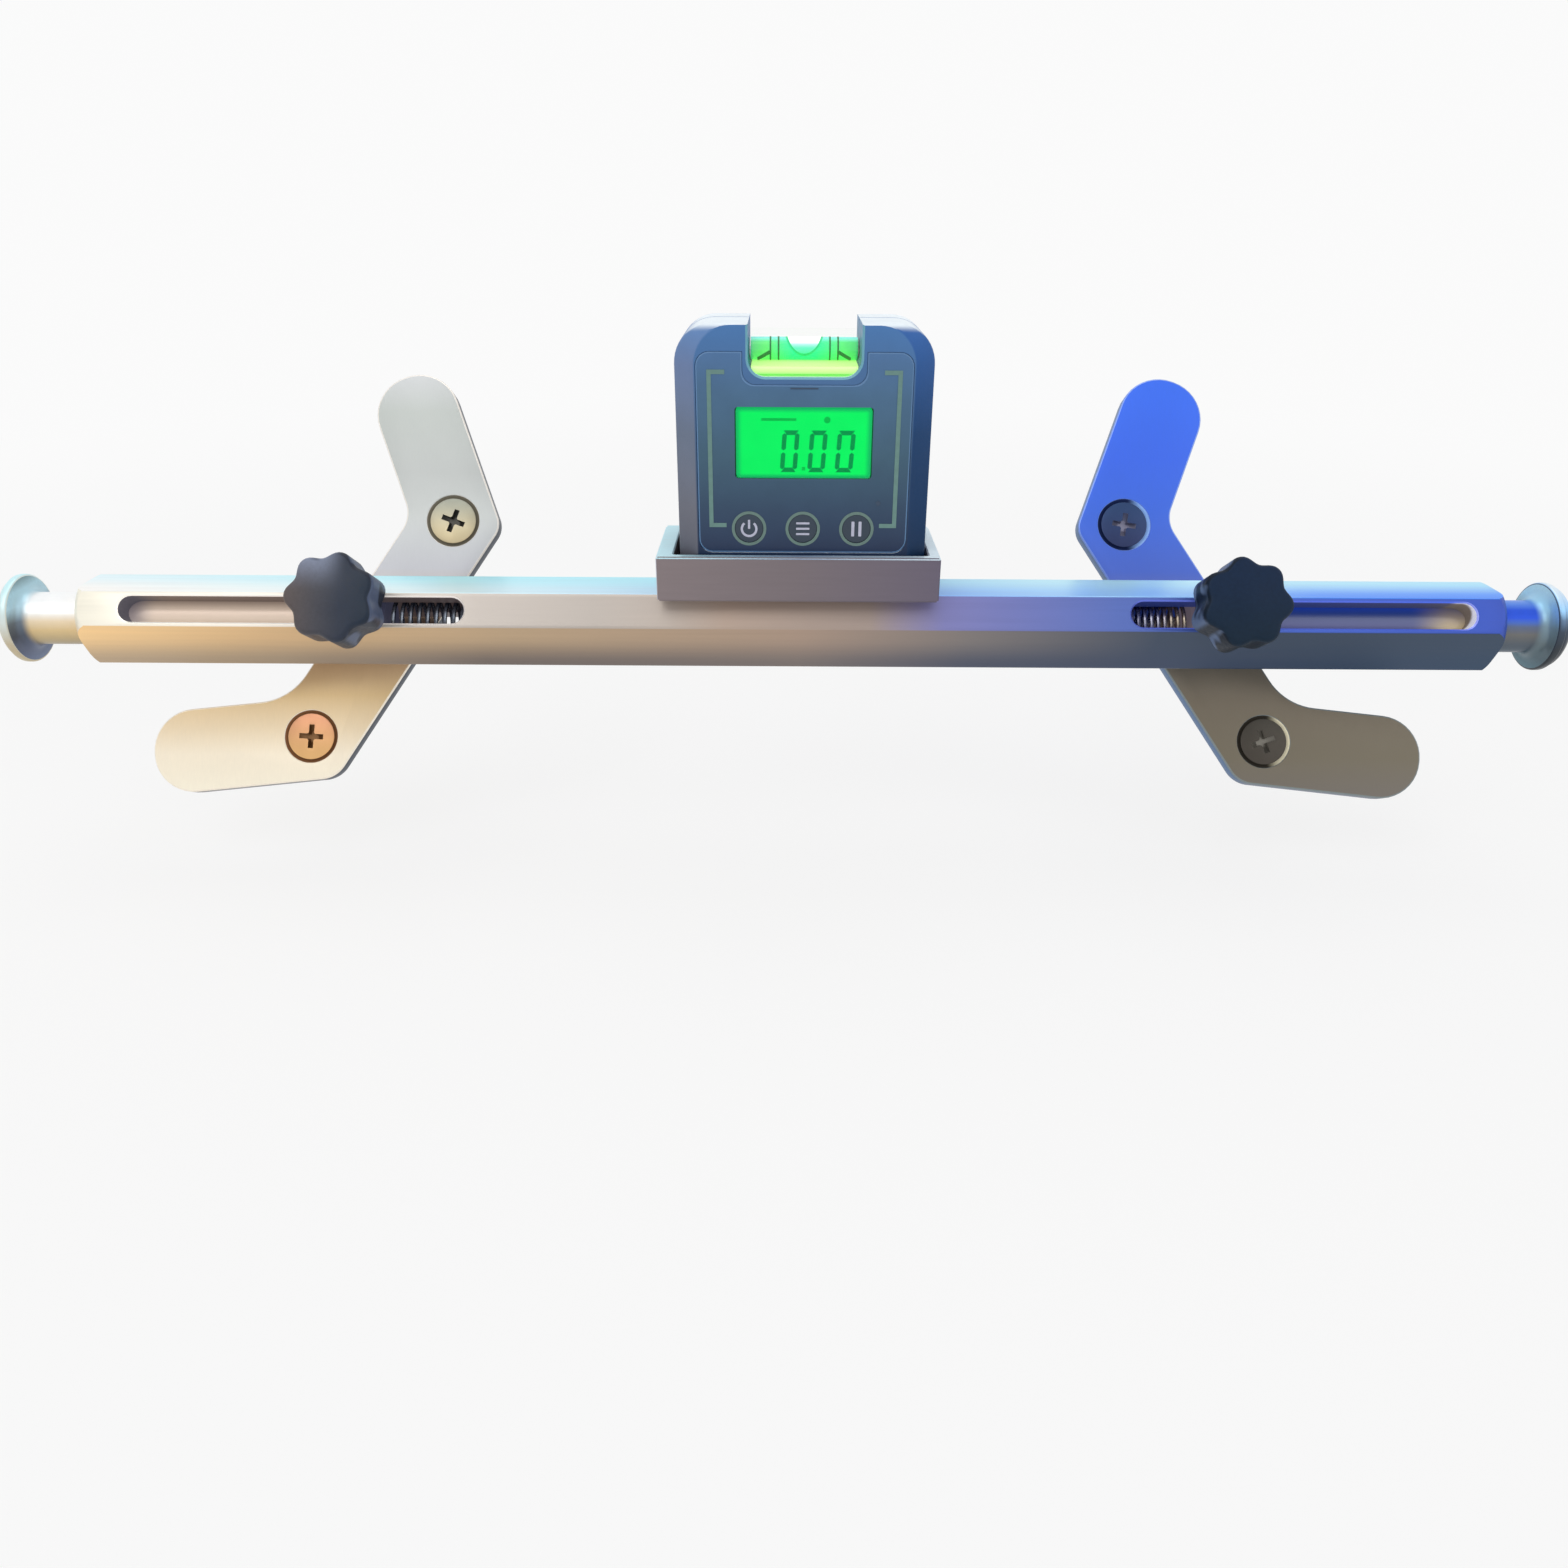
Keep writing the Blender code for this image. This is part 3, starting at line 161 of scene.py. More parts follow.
# Arm plates
PLATE_FRONT = -12.9 * MM
PLATE_BACK = -16.9 * MM
PLATE_EDGE = 0.4 * MM
LIMB_HALF = 11.2 * MM
BEND_DISTANCE = 35 * MM
LIMB_LENGTH = 31.5 * MM
BEND_ANGLE = math.radians(52)
PLATE_LEAN = math.radians(31.9)
UPPER_RADII = (8 * MM, 6.0 * MM)
LOWER_RADII = (16 * MM, 7.5 * MM)
TIP_ROUND_SHARE = 0.97
PLATE_SPAN = (-48 * MM, 56 * MM)
BAR_SPAN = (-10 * MM, 10 * MM)
CROSS_SPAN = 6.4 * MM
CROSS_WIDTH = 1.4 * MM
CROSS_DEPTH = 1.6 * MM
CROSS_WEB = 0.35 * MM
SCREW_EDGE = 0.2 * MM
SINK_EDGE = 0.25 * MM
SCREW_SHIFT = 0.7 * MM
SCREW_SPREAD = 34.8 * MM
SCREW_HEAD_RADIUS = 6.2 * MM
SCREW_SHANK_RADIUS = 2.95 * MM
SCREW_LENGTH = 13 * MM
SINK_ROOM = 0.9 * MM
SCREW_TURNS = {"left_upper": -20, "left_lower": -3, "right_upper": -9, "right_lower": 19}

# Tray
TRAY_PLACE = (0, -0.3 * MM, 10.4 * MM)
TRAY_SIZE = (69 * MM, 30.5 * MM, 11.1 * MM)
TRAY_WALL = 2.5 * MM
TRAY_INSIDE = (-30.4 * MM, 31.7 * MM)
TRAY_FLOOR = 3.5 * MM
TRAY_EDGE = 0.45 * MM
TRAY_CORNER = 0.6 * MM
TRAY_POCKET_CORNER = 0.8 * MM
TRAY_FLARE = 0.3 * MM
TRAY_SINK = [(1.4 * MM, TAP_RADIUS), (3 * MM, 4.1 * MM), (4 * MM, 4.1 * MM)]

# Level box, in its own frame: the middle of its foot
LEVEL_PLACE = (1 * MM, -0.3 * MM, 14.2 * MM)
FRONT = -12.5 * MM
BACK = 12.5 * MM
SPLIT = 3.0 * MM
LEVEL_HALF = 30 * MM
LEVEL_TOP = 60 * MM
LEVEL_CORNER = 9 * MM
FOOT_CORNER = 1.5 * MM
NOTCH_HALF = 12.95 * MM
NOTCH_CORNER = 4 * MM
VIAL_BASE = 48.9 * MM
VIAL_TOP = 56.8 * MM
VIAL_AXIS = 53.4 * MM
TUBE_RADIUS = 2.6 * MM
PANEL_HALF = 24.75 * MM
PANEL_BASE = 8.1 * MM
PANEL_TOP = 53.9 * MM
PANEL_DIP = 46.7 * MM
PANEL_DIP_HALF = 14.5 * MM
PANEL_CORNER = 3 * MM
PANEL_THICKNESS = 0.6 * MM
WINDOW_HALF = 15.8 * MM
WINDOW_BASE = 25.9 * MM
WINDOW_TOP = 41.7 * MM
WINDOW_THICKNESS = 2.4 * MM
WINDOW_CORNER = 0.8 * MM
WINDOW_RIM = 1.6 * MM
WINDOW_TOP_RIM = 1.2 * MM
WINDOW_BASE_RIM = 1.0 * MM
KEY_PLACES = {"power": -12.9 * MM, "menu": 0.0, "hold": 12.9 * MM}
KEY_HEIGHT = 13.7 * MM
KEY_RADIUS = 3.5 * MM
KEY_STEM_END = -6.2 * MM
KEY_STEM_RADIUS = 1.5 * MM
KEY_FLANGE = 1.0 * MM
KEY_FLANGE_RADIUS = 4.3 * MM
KEY_ROUND = 0.3 * MM
KEY_DISH = 0.12 * MM
KEY_DISH_EDGE = 0.05 * MM
KEY_DISH_RADIUS = 2.2 * MM

# Housing: its front rows are depth, side inset, top inset and corner in millimetres
FRONT_ROWS = (
    (0, 4.9, 0.5, 8.5), (0.12, 4.4, 0.2, 8.7), (0.45, 3.9, 0.05, 8.9),
    (2.7, 0.5, 0, 9), (3.1, 0.12, 0, 9), (3.8, 0, 0, 9),
)
SPLIT_EDGE = 0.2 * MM
BACK_ROUND = 1.2 * MM
BACK_WALL = 2 * MM
CASE_WALL = 3.5 * MM
CAVITY_STEP = 6 * MM
CAVITY_HEIGHTS = (3.2 * MM, 9.5 * MM, 46.4 * MM)
NOTCH_LIP = 0.5 * MM
CASE_SCREW_PLACES = ((20.5 * MM, 52.5 * MM), (23.8 * MM, 6.2 * MM))
CASE_HEAD_DEPTH = 1.7 * MM
CASE_HEAD_RADIUS = 2.4 * MM
PILOT_DEPTH = 11 * MM
PILOT_RADIUS = 1.3 * MM
MAGNET_SEAT_RADIUS = 5.3 * MM
MAGNET_SEAT_DEPTH = 2.3 * MM
MAGNET_SPREAD = 14 * MM
MAGNET_BACK = 8.5 * MM
DOOR_HALF = 23.2 * MM
DOOR_BASE = 10.0 * MM
DOOR_TOP = 34.4 * MM
DOOR_CORNER = 1.7 * MM
DOOR_HOLE_CORNER = 2 * MM
DOOR_THICKNESS = 1.4 * MM
DOOR_EDGE = 0.2 * MM
THUMB_SIZE = (6 * MM, 0.8 * MM, 2.4 * MM)
THUMB_HEIGHT = 30 * MM

# Depth behind the front, and inset or growth, of the panel's and the window's rims
PANEL_ROWS = ((0.02 * MM, 0.1 * MM), (0.08 * MM, -0.1 * MM), (0.25 * MM, -0.25 * MM))
COVER_ROWS = ((0.05 * MM, -0.15 * MM), (0.2 * MM, 0))
COVER_ROOM = 0.1 * MM

# Prints and signs
PRINT = 0.06 * MM
PRINT_ROOT = 0.04 * MM
BRACKET_SIDE = 21.9 * MM
BRACKET_TICK = 18.3 * MM
BRACKET_TOP = 49.7 * MM
BRACKET_BASE = 14.5 * MM
BRACKET_WIDTH = 1.0 * MM
RING_OVERLAP = 0.05 * MM
RING_WIDTH = 0.65 * MM
DOT_RADIUS = 0.55 * MM
DOT_PLACE = (17.9 * MM, 19.9 * MM)
FAINT_LINE = (3.2 * MM, 46.0 * MM, 46.3 * MM)
SIGN_HEIGHT = 0.02 * MM
SIGN_ROOT = 0.2 * MM
SIGN_CORNER = 0.12 * MM
POWER_RADIUS = 1.75 * MM
POWER_DROP = 0.1 * MM
POWER_WIDTH = 0.55 * MM
POWER_BAR = (0.27 * MM, -POWER_DROP, 2.1 * MM, SIGN_CORNER)
MENU_LINE = (1.6 * MM, 0.24 * MM)
MENU_STEP = 1.3 * MM
HOLD_BAR = (0.36 * MM, -1.8 * MM, 1.8 * MM, 0.15 * MM)
HOLD_SPREAD = 0.85 * MM

# Display
DISPLAY_DEPTH = 1.9 * MM
DISPLAY_OVERLAP = 0.05 * MM
DIGIT_ENDS = ((-5.6 * MM, -1.6 * MM), (0.85 * MM, 4.95 * MM), (7.3 * MM, 11.5 * MM))
DIGIT_HEIGHTS = (27.1 * MM, 36.7 * MM)
DIGIT_SLANT = 0.07
SEGMENT_HALF = 0.52 * MM
SEGMENT_NICK = 0.22 * MM
SEGMENT_POINT_SHARE = 0.8
DASH = (4.05 * MM, 38.85 * MM, 39.45 * MM)
DASH_PLACE = -5.85 * MM
BADGE = (5.4 * MM, 39.1 * MM, 0.75 * MM)
DECIMAL_POINT = (0.4 * MM, 27.5 * MM, 28.3 * MM)

# Vial
VIAL_SINK = 0.6 * MM
VIAL_EDGE = 0.25 * MM
PAD_SINK = 1.2 * MM
PAD_INSET = 0.4 * MM
PAD_LIFT = 0.3 * MM
PAD_OVERLAP = 0.1 * MM
PAD_CORNER = 1.4 * MM
PAD_SPAN = (VIAL_BASE, 51 * MM)
SPIRIT_REACH = 12.5 * MM
SPIRIT_TOP_SPAN = (1.5 * MM, 2.7 * MM)
PATCH_REACH = 11 * MM
VIAL_LINES = (-7.9 * MM, -6.0 * MM, 6.0 * MM, 7.9 * MM)
VIAL_LINE_HALF = 0.2 * MM
VIAL_LINE_DEPTH = 0.05 * MM
VIAL_LINE_RISE = 0.06 * MM
SLOPE_LINE = ((8.0 * MM, -0.5 * MM), (11.2 * MM, -2.4 * MM))
SLOPE_WIDTH = 0.8 * MM
SLOPE_RISE = 0.05 * MM
BUBBLE_RIM = (4.4 * MM, 5 * MM, 4.5 * MM)
BUBBLE_RIM_RISE = 0.03 * MM
BUBBLE = (3.9 * MM, 5 * MM, 4.0 * MM)
BUBBLE_RISE = 0.06 * MM
BUBBLE_SPAN = (-1.0 * MM, 2.6 * MM)

# Camera, as fitted to the photograph's straight edges
IMAGE_SIZE = 1568
FOCAL_PIXELS = 1228.4
SENSOR = 36
CAMERA_PLACE = (-3.42 * MM, -304.9 * MM, 103.7 * MM)
CAMERA_PITCH = math.radians(26.29)
CAMERA_YAW = math.radians(-0.056)
CAMERA_ROLL = math.radians(0.344)

# Stage, in metres and watts; each lamp has its place, size and power
CLIP_START = 0.01
WORLD_LIGHT = 0.6
WORLD_SEEN = 0.96
FLOOR_DROP = 18.5 * MM
FLOOR_SIZE = 4.0
FLOOR_GLOW = 0.96
FLOOR_FADE = (0.2, 0.8)
FLOOR_NEAR_SHARE = 0.8
LAMPS = {
    "key_lamp": ((-0.5, -0.7, 1.1), 0.9, 4.0),
    "fill_lamp": ((0.8, -0.6, 0.6), 0.8, 1.2),
    "top_lamp": ((0, 0.3, 1.3), 1.0, 3.2),
}

IDENTITY = Matrix.Identity(4)
LEVEL_FRAME = Matrix.Translation(LEVEL_PLACE)
VIAL_FRAME = LEVEL_FRAME @ Matrix.Translation((0, 0, VIAL_AXIS))
TRAY_FRAME = Matrix.Translation(TRAY_PLACE)
FACET_FRAME = Matrix.Rotation(FACET_TURN, 4, "X")


def side_frame(side):
    return Matrix.Translation((SIGNS[side] * STUD_PLACES[side], 0, 0)) @ FACET_FRAME


# Materials


def linear(colour):
    """A colour written as rrggbb, as linear light."""
    made = []
    for i in (0, 2, 4):
        c = int(colour[i:i + 2], 16) / 255
        made.append(c / 12.92 if c <= 0.04045 else ((c + 0.055) / 1.055) ** 2.4)
    return (*made, 1.0)


def feed(tree, socket, value):
    """Gives a socket a link, a colour or a number."""
    if isinstance(value, bpy.types.NodeSocket):
        tree.links.new(value, socket)
    else:
        socket.default_value = linear(value) if isinstance(value, str) else value


def add_node(tree, kind, **sockets):
    node = tree.nodes.new("ShaderNode" + kind)
    for name, value in sockets.items():
        feed(tree, node.inputs[name.replace("_", " ")], value)
    return node


class Paint:
    """A material and the nodes that colour it, painted light and shade included, by place and facing on the
    piece itself.
    """

    def __init__(self, name, roughness=0.5, metallic=0.0, **sockets):
        self.material = bpy.data.materials.new(name)
        self.material.use_nodes = True
        self.tree = self.material.node_tree
        self.shader = self.tree.nodes["Principled BSDF"]
        self.set(Roughness=roughness, Metallic=metallic, **sockets)
        self.coordinates = self.node("TexCoord")
        self.split = {}

    def set(self, **sockets):
        for name, value in sockets.items():
            feed(self.tree, self.shader.inputs[name.replace("_", " ")], value)

    def node(self, kind, **sockets):
        return add_node(self.tree, kind, **sockets)

    def axis(self, letter, facing=False):
        """One coordinate of the place, or of the normal, on the piece."""
        output = "Normal" if facing else "Object"
        if output not in self.split:
            self.split[output] = self.node("SeparateXYZ", Vector=self.coordinates.outputs[output])
        return self.split[output].outputs[letter]

    def span(self, source, low, high, smooth=True):
        """A value from 0 at low to 1 at high."""
        node = self.node("MapRange", Value=source, From_Min=low, From_Max=high)
        node.interpolation_type = "SMOOTHSTEP" if smooth else "LINEAR"
        return node.outputs["Result"]

    def ramp(self, source, low, high, stops):
        """A colour along a value, from {share: colour} stops."""
        node = self.node("ValToRGB", Fac=self.span(source, low, high, False))
        elements = node.color_ramp.elements
        while len(elements) < len(stops):
            elements.new(0.5)
        for element, share in zip(elements, stops):
            element.position = share
        for element, colour in zip(elements, stops.values()):
            element.color = linear(colour)
        return node.outputs["Color"]

    def mix(self, share, first, second, kind="MIX"):
        node = self.node("Mix")
        node.data_type = "RGBA"
        node.blend_type = kind
        for name, value in (("Factor", share), ("A", first), ("B", second)):
            feed(self.tree, node.inputs[name], value)
        return node.outputs["Result"]

    def noise(self, scale, stretch=(1, 1, 1), detail=3.0):
        mapping = self.node("Mapping", Vector=self.coordinates.outputs["Object"], Scale=stretch)
        node = self.node("TexNoise", Vector=mapping.outputs[0], Scale=scale, Detail=detail)
        return node.outputs["Fac"]

    def swing(self, noise, low, high):
        """A noise's usual range brought to low and high."""
        least, most = NOISE_RANGE
        limits = {"From_Min": least, "From_Max": most, "To_Min": low, "To_Max": high}
        return self.node("MapRange", Value=noise, **limits).outputs["Result"]

    def mottle(self, colour, noise, low, high):
        """The colour, lighter and darker by a noise."""
        return self.mix(1.0, colour, self.swing(noise, low, high), "MULTIPLY")

    def vary_roughness(self, noise, low, high):
        self.set(Roughness=self.swing(noise, low, high))

    def bump(self, noise, depth, strength=0.3):
        node = self.node("Bump", Distance=depth, Strength=strength, Height=noise)
        self.set(Normal=node.outputs["Normal"])

    def colour(self, source):
        self.set(Base_Color=source)
        return self.material

    def mottled(self, colour, noise, low, high):
        return self.colour(self.mottle(colour, noise, low, high))

    def textured(self, colour, noise, tones, gloss, relief):
        """The finished material, a noise giving its tones, its gloss and its relief."""
        self.vary_roughness(noise, *gloss)
        self.bump(noise, *relief)
        return self.mottled(colour, noise, *tones)

    def glow(self, source, strength):
        self.set(Emission_Color=source, Emission_Strength=strength)


def grained(name, colour, roughness=0.5, metallic=0.0, grain=900.0, spread=0.08, **sockets):
    """A plain finish with a fine grain, slight mottling and uneven gloss."""
    paint = Paint(name, roughness, metallic, **sockets)
    fine = paint.noise(grain)
    broad = paint.noise(60.0, detail=2.0)
    paint.vary_roughness(fine, roughness * (1 - spread), min(1.0, roughness * (1 + spread)))
    paint.bump(fine, GRAIN)
    return paint.mottled(colour, broad, 1 - spread, 1 + spread)


# Painted light of the bar's facets, each running from warm at the left to blue at the right
BAR_TOP_REAR = {
    0.0: "e4f8fe", 0.2: "bef5ff", 0.42: "b0f0ff", 0.58: "a6e0ff",
    0.7: "c4f2ff", 0.8: "baecff", 1.0: "b0e8ff",
}
BAR_TOP_FRONT = {
    0.0: "fffcf8", 0.2: "ecfdff", 0.28: "dcf6fe", 0.42: "b8def6", 0.6: "84bafa",
    0.72: "a6d8ff", 0.78: "88c2ff", 0.86: "4894fe", 1.0: "328afd",
}
BAR_SLOT = {
    0.0: "fcf7e6", 0.12: "fcf5e8", 0.28: "c0b7af", 0.36: "b6ada5",
    0.41: "baaea4", 0.45: "b8a394", 0.55: "a8978e", 0.6: "8080b8",
    0.72: "586fba", 0.85: "3e5fc2", 1.0: "3050b8",
}
BAR_LOW_UPPER = {
    0.0: "ffd496", 0.13: "dfba8a", 0.3: "bda281", 0.5: "ab9381",
    0.62: "7f7876", 0.75: "38475d", 1.0: "283f58",
}
BAR_LOW_LOWER = {
    0.0: "bca486", 0.13: "a6937d", 0.28: "736760", 0.5: "796f6b",
    0.62: "4a5062", 0.75: "34435e", 1.0: "1c3c5a",
}
REAR_SHADE = "9698a0"


def anodised_bar_painted_light():
    """Satin anodised extrusion with painted light: each facet runs from warm to blue along the bar, a
    painted reflection of coloured light, and facets facing up are painted lighter than those facing down.
    """
    paint = Paint("anodised_bar_painted_light", 0.36, 0.35)
    along = paint.axis("X")
    across = paint.axis("Y")
    height = paint.axis("Z")
    up = paint.axis("Z", True)
    ahead = paint.axis("Y", True)
    bands = (BAR_TOP_REAR, BAR_TOP_FRONT, BAR_SLOT, BAR_LOW_UPPER, BAR_LOW_LOWER)
    rear, front, slot, upper, lower = (paint.ramp(along, -BAR_HALF, BAR_HALF, stops) for stops in bands)
    top = paint.mix(paint.span(across, *TOP_FADE), rear, front)
    low = paint.mix(paint.span(height, *LOW_FADE), upper, lower)
    shade = paint.mix(paint.span(up, -0.2, 0.2), low, slot)
    shade = paint.mix(paint.span(up, 0.7, 0.86), shade, top)
    behind = paint.mix(0.45, REAR_SHADE, slot)
    shade = paint.mix(paint.span(ahead, 0.2, 0.5), shade, behind)
    streaks = paint.noise(900.0, (0.03, 1, 1), 4.0)
    paint.vary_roughness(streaks, 0.32, 0.42)
    paint.bump(paint.noise(3000.0), FINE_GRAIN, 0.25)
    return paint.mottled(shade, streaks, 0.97, 1.03)


def lip_finish():
    """The edge round the slots, a painted highlight with a little glow, cream at the left and lilac at the
    right.
    """
    paint = Paint("slot_lip", 0.3, 0.5)
    stops = {0.0: "fffaee", 0.35: "ece4e2", 0.7: "6878d6", 0.95: "4868e2", 1.0: "cdcdf0"}
    shade = paint.ramp(paint.axis("X"), -BAR_HALF, BAR_HALF, stops)
    paint.glow(shade, 0.2)
    return paint.mottled(shade, paint.noise(1200.0), 0.94, 1.05)


def slot_wall():
    """The slots' inner walls, and the bores: painted shade that runs along the bar, a painted glint at the
    right mouth that darkens deeper in, and a glow that lifts them from their shade.
    """
    paint = Paint("slot_wall", 0.5, 0.4)
    stops = {
        0.0: "5e606c", 0.04: "62606a", 0.06: "786a62", 0.3: "54484c", 0.65: "2c3270",
        0.8: "2c428c", 0.94: "50526e", 1.0: "54525c",
    }
    shade = paint.ramp(paint.axis("X"), -BAR_HALF, BAR_HALF, stops)
    glint = paint.mix(paint.span(paint.axis("Y"), *MOUTH_SPAN), "766c64", "eceefc")
    shade = paint.mix(paint.span(paint.axis("X"), *GLINT_SPAN), shade, glint)
    paint.glow(shade, 0.3)
    return paint.mottled(shade, paint.noise(1200.0), 0.9, 1.08)


def turned_metal(name, stops, roughness=0.3):
    """Lathe-turned metal, with light and shade painted by how far a spot faces up."""
    paint = Paint(name, roughness, 0.3)
    shade = paint.ramp(paint.axis("Z", True), -1.0, 1.0, stops)
    grain = paint.noise(450.0)
    paint.vary_roughness(grain, roughness * 0.95, roughness * 1.08)
    return paint.mottled(shade, grain, 0.98, 1.02)


def neck_finish(side):
    """The turned rod, its light and shade painted by how far a spot faces up: another painted tone inside
    the bar, painted shade at its tail, painted light and shade at the slot's end, a glow that lifts the
    inside from its shade, and the head's painted tones in the fillet.
    """
    paint = Paint(side + "_neck", 0.3, 0.3)
    sign = SIGNS[side]
    up = paint.axis("Z", True)
    along = paint.axis("X")
    outside, inside = (paint.ramp(up, -1.0, 1.0, stops[side]) for stops in (NECK_STOPS, ROD_STOPS))
    mouth = sign * END_REACHES[side]
    share = paint.span(along, mouth - sign * MOUTH_FADE, mouth)
    # Painted light and shade where the rod lies at the slot's end
    limits, stops = SLOT_END_PAINTED_LIGHT[side]
    inside = paint.mix(paint.span(along, *limits), inside, paint.ramp(up, -1.0, 1.0, stops))
    # Painted shade at the rod's tail, by the spring
    tail = sign * (STUD_PLACES[side] - TAIL_FADE)
    inside = paint.mix(paint.span(along, tail, tail - sign * TAIL_FADE), inside, TAIL_PAINTED_SHADE[side])
    shade = paint.mix(share, inside, outside)
    head = sign * (STUD_PLACES[side] + ROD_REACHES[side])
    face = paint.ramp(paint.axis("Z"), -HEAD_RADIUS, HEAD_RADIUS, FACE_STOPS[side])
    near, far = (head - sign * back for back in FILLET_FADE)
    shade = paint.mix(paint.span(along, near, far), shade, face)
    grain = paint.noise(450.0)
    paint.vary_roughness(grain, 0.29, 0.33)
    # The part inside the bar glows a little: painted light against its shade
    paint.glow(paint.mix(share, inside, "000000"), 0.65 if side == "left" else 0.45)
    return paint.mottled(shade, grain, 0.98, 1.02)


def turned_face(name, stops, roughness=0.35):
    """A turned face, with light and shade painted by height, and a fine grain."""
    paint = Paint(name, roughness, 0.4)
    shade = paint.ramp(paint.axis("Z"), -HEAD_RADIUS, HEAD_RADIUS, stops)
    grain = paint.noise(1500.0)
    paint.bump(grain, FAINT_GRAIN, 0.2)
    return paint.mottled(shade, grain, 0.95, 1.05)


def plate_finish(side):
    """Satin plate with painted reflections by height: the left one light grey over cream, the right one
    blue over bronze grey.
    """
    paint = Paint(side + "_plate_face", 0.42, 0.25)
    height = paint.axis("Z")
    if side == "left":
        stops = {
            0.02: "fff7e2", 0.115: "fcf0d9", 0.175: "eedab8", 0.25: "e0c290",
            0.33: "d8b792", 0.4: "ceb49a", 0.54: "c7c9cf", 0.66: "c9ccca",
            0.76: "babdbb", 0.9: "babfbb", 1.0: "ccced0",
        }
    else:
        stops = {
            0.02: "76706a", 0.12: "756d5c", 0.25: "7a7060", 0.36: "8e8678",
            0.54: "4c6ed4", 0.68: "3c6ce2", 0.8: "386aec", 1.0: "3670f4",
        }
    shade = paint.ramp(height, *PLATE_SPAN, stops)
    shade = paint.mottle(shade, paint.noise(45.0, detail=2.0), 0.98, 1.02)
    grain = paint.noise(2200.0, (1, 0.2, 0.2), 3.0)
    return paint.textured(shade, grain, (0.985, 1.015), (0.38, 0.48), (FINE_GRAIN, 0.2))


def plate_edge(side):
    """The cut edge of a plate, with light and shade painted by which way along the bar it faces: on the
    left plate dark slate inward and light outward, on the right plate blue inward and lilac grey outward.
    """
    paint = Paint(side + "_plate_cut", 0.4, 0.3)
    inward = paint.axis("X", True)
    if side == "left":
        stops = {0.0: "d6cebe", 0.45: "a09692", 0.62: "3e4450", 1.0: "2e3846"}
    else:
        stops = {0.0: "4c709c", 0.3: "486080", 0.6: "5a5c6e", 1.0: "787ea0"}
    shade = paint.ramp(inward, -1.0, 1.0, stops)
    return paint.mottled(shade, paint.noise(1400.0), 0.94, 1.06)


def plate_bevel(side):
    """The thin line where a plate's face meets its edge, a painted highlight, in another tone below the
    bar.
    """
    colour = "eee8e0" if side == "left" else "809ee8"
    low = "faf0de" if side == "left" else "808a8c"
    paint = Paint(side + "_plate_bevel", 0.3, 0.4)
    shade = paint.mix(paint.span(paint.axis("Z"), *BAR_SPAN), low, colour)
    return paint.mottled(shade, paint.noise(1400.0), 0.95, 1.05)


def sink_finish(side):
    """The cone a screw head sits in: painted shade at the left, a painted lit crescent at the right, and a
    glow that lifts it from the gap's shade.
    """
    paint = Paint(side + "_plate_sink", 0.35, 0.4)
    height = paint.span(paint.axis("Z"), *BAR_SPAN)
    if side == "left":
        shade = paint.mix(height, "80583a", "767062")
    else:
        dark = paint.mix(height, "36322c", "1e2a54")
        light = paint.mix(height, "e2dabe", "96befc")
        shade = paint.mix(paint.span(paint.axis("X", True), -0.1, -0.5), dark, light)
    paint.glow(shade, 0.35)
    return paint.mottled(shade, paint.noise(1500.0), 0.92, 1.06)


def screw_finish(name, upper, lower, middle):
    """Plated screw: one tint over another about its middle height, painted light and reflection."""
    paint = Paint(name, 0.34, 0.55)
    height = paint.axis("Z")
    share = paint.span(height, middle - SCREW_HEAD_RADIUS, middle + SCREW_HEAD_RADIUS)
    shade = paint.mix(share, lower, upper)
    shade = paint.mottle(shade, paint.noise(160.0, detail=1.0), 0.96, 1.04)
    grain = paint.noise(2600.0)
    paint.vary_roughness(grain, 0.28, 0.4)
    paint.bump(grain, FAINT_GRAIN, 0.2)
    return paint.colour(shade)


def knob_finish(side):
    """Moulded nylon with painted light: the left knob darker toward the right, with a painted highlight at
    its upper left; on both, the inner flank is painted shade with painted highlights on its ridges.
    """
    left = side == "left"
    paint = Paint(side + "_nylon", 0.4, 0.0, Specular_IOR_Level=0.3 if left else 0.12)
    along, height = paint.axis("X"), paint.axis("Z")
    inward = paint.axis("X", True)
    front = paint.span(paint.axis("Y", True), -0.6, -0.8)
    if left:
        # Painted light across the left knob, and a painted highlight at its upper left
        stops = {0.0: "5a504e", 0.35: "42424a", 0.6: "283040", 0.85: "142436", 1.0: "0e1e30"}
        shade = paint.ramp(along, *KNOB_SPAN, stops)
        top_highlight = paint.mix(paint.span(along, *KNOB_HIGHLIGHT_SPAN), shade, "8c96ae")
        shade = paint.mix(paint.span(height, *KNOB_TOP_SPAN), shade, top_highlight)
    else:
        shade = paint.mix(paint.span(height, *KNOB_HEIGHT_SPAN), "142636", "162842")
    sign = -SIGNS[side]
    # Painted shade on the inner flank, and painted highlights on its ridges where the noise allows
    inner = paint.span(inward, -0.1 * sign, 0.3 * sign)
    ridge_highlight = paint.span(inward, 0.5 * sign, 0.85 * sign)
    bright, dark = ("4e5a74", "101a2c") if left else ("5c6e8e", "0c1a2a")
    dark = paint.mix(inner, shade, dark)
    flank = paint.mix(front, paint.mix(ridge_highlight, dark, bright), shade)
    plain = paint.mix(front, dark, shade)
    shade = paint.mix(paint.span(paint.noise(150.0, detail=1.0), 0.45, 0.56), plain, flank)
    grain = paint.noise(1100.0, detail=4.0)
    return paint.textured(shade, grain, (0.92, 1.08), (0.36, 0.5), (COARSE_GRAIN, 0.25))


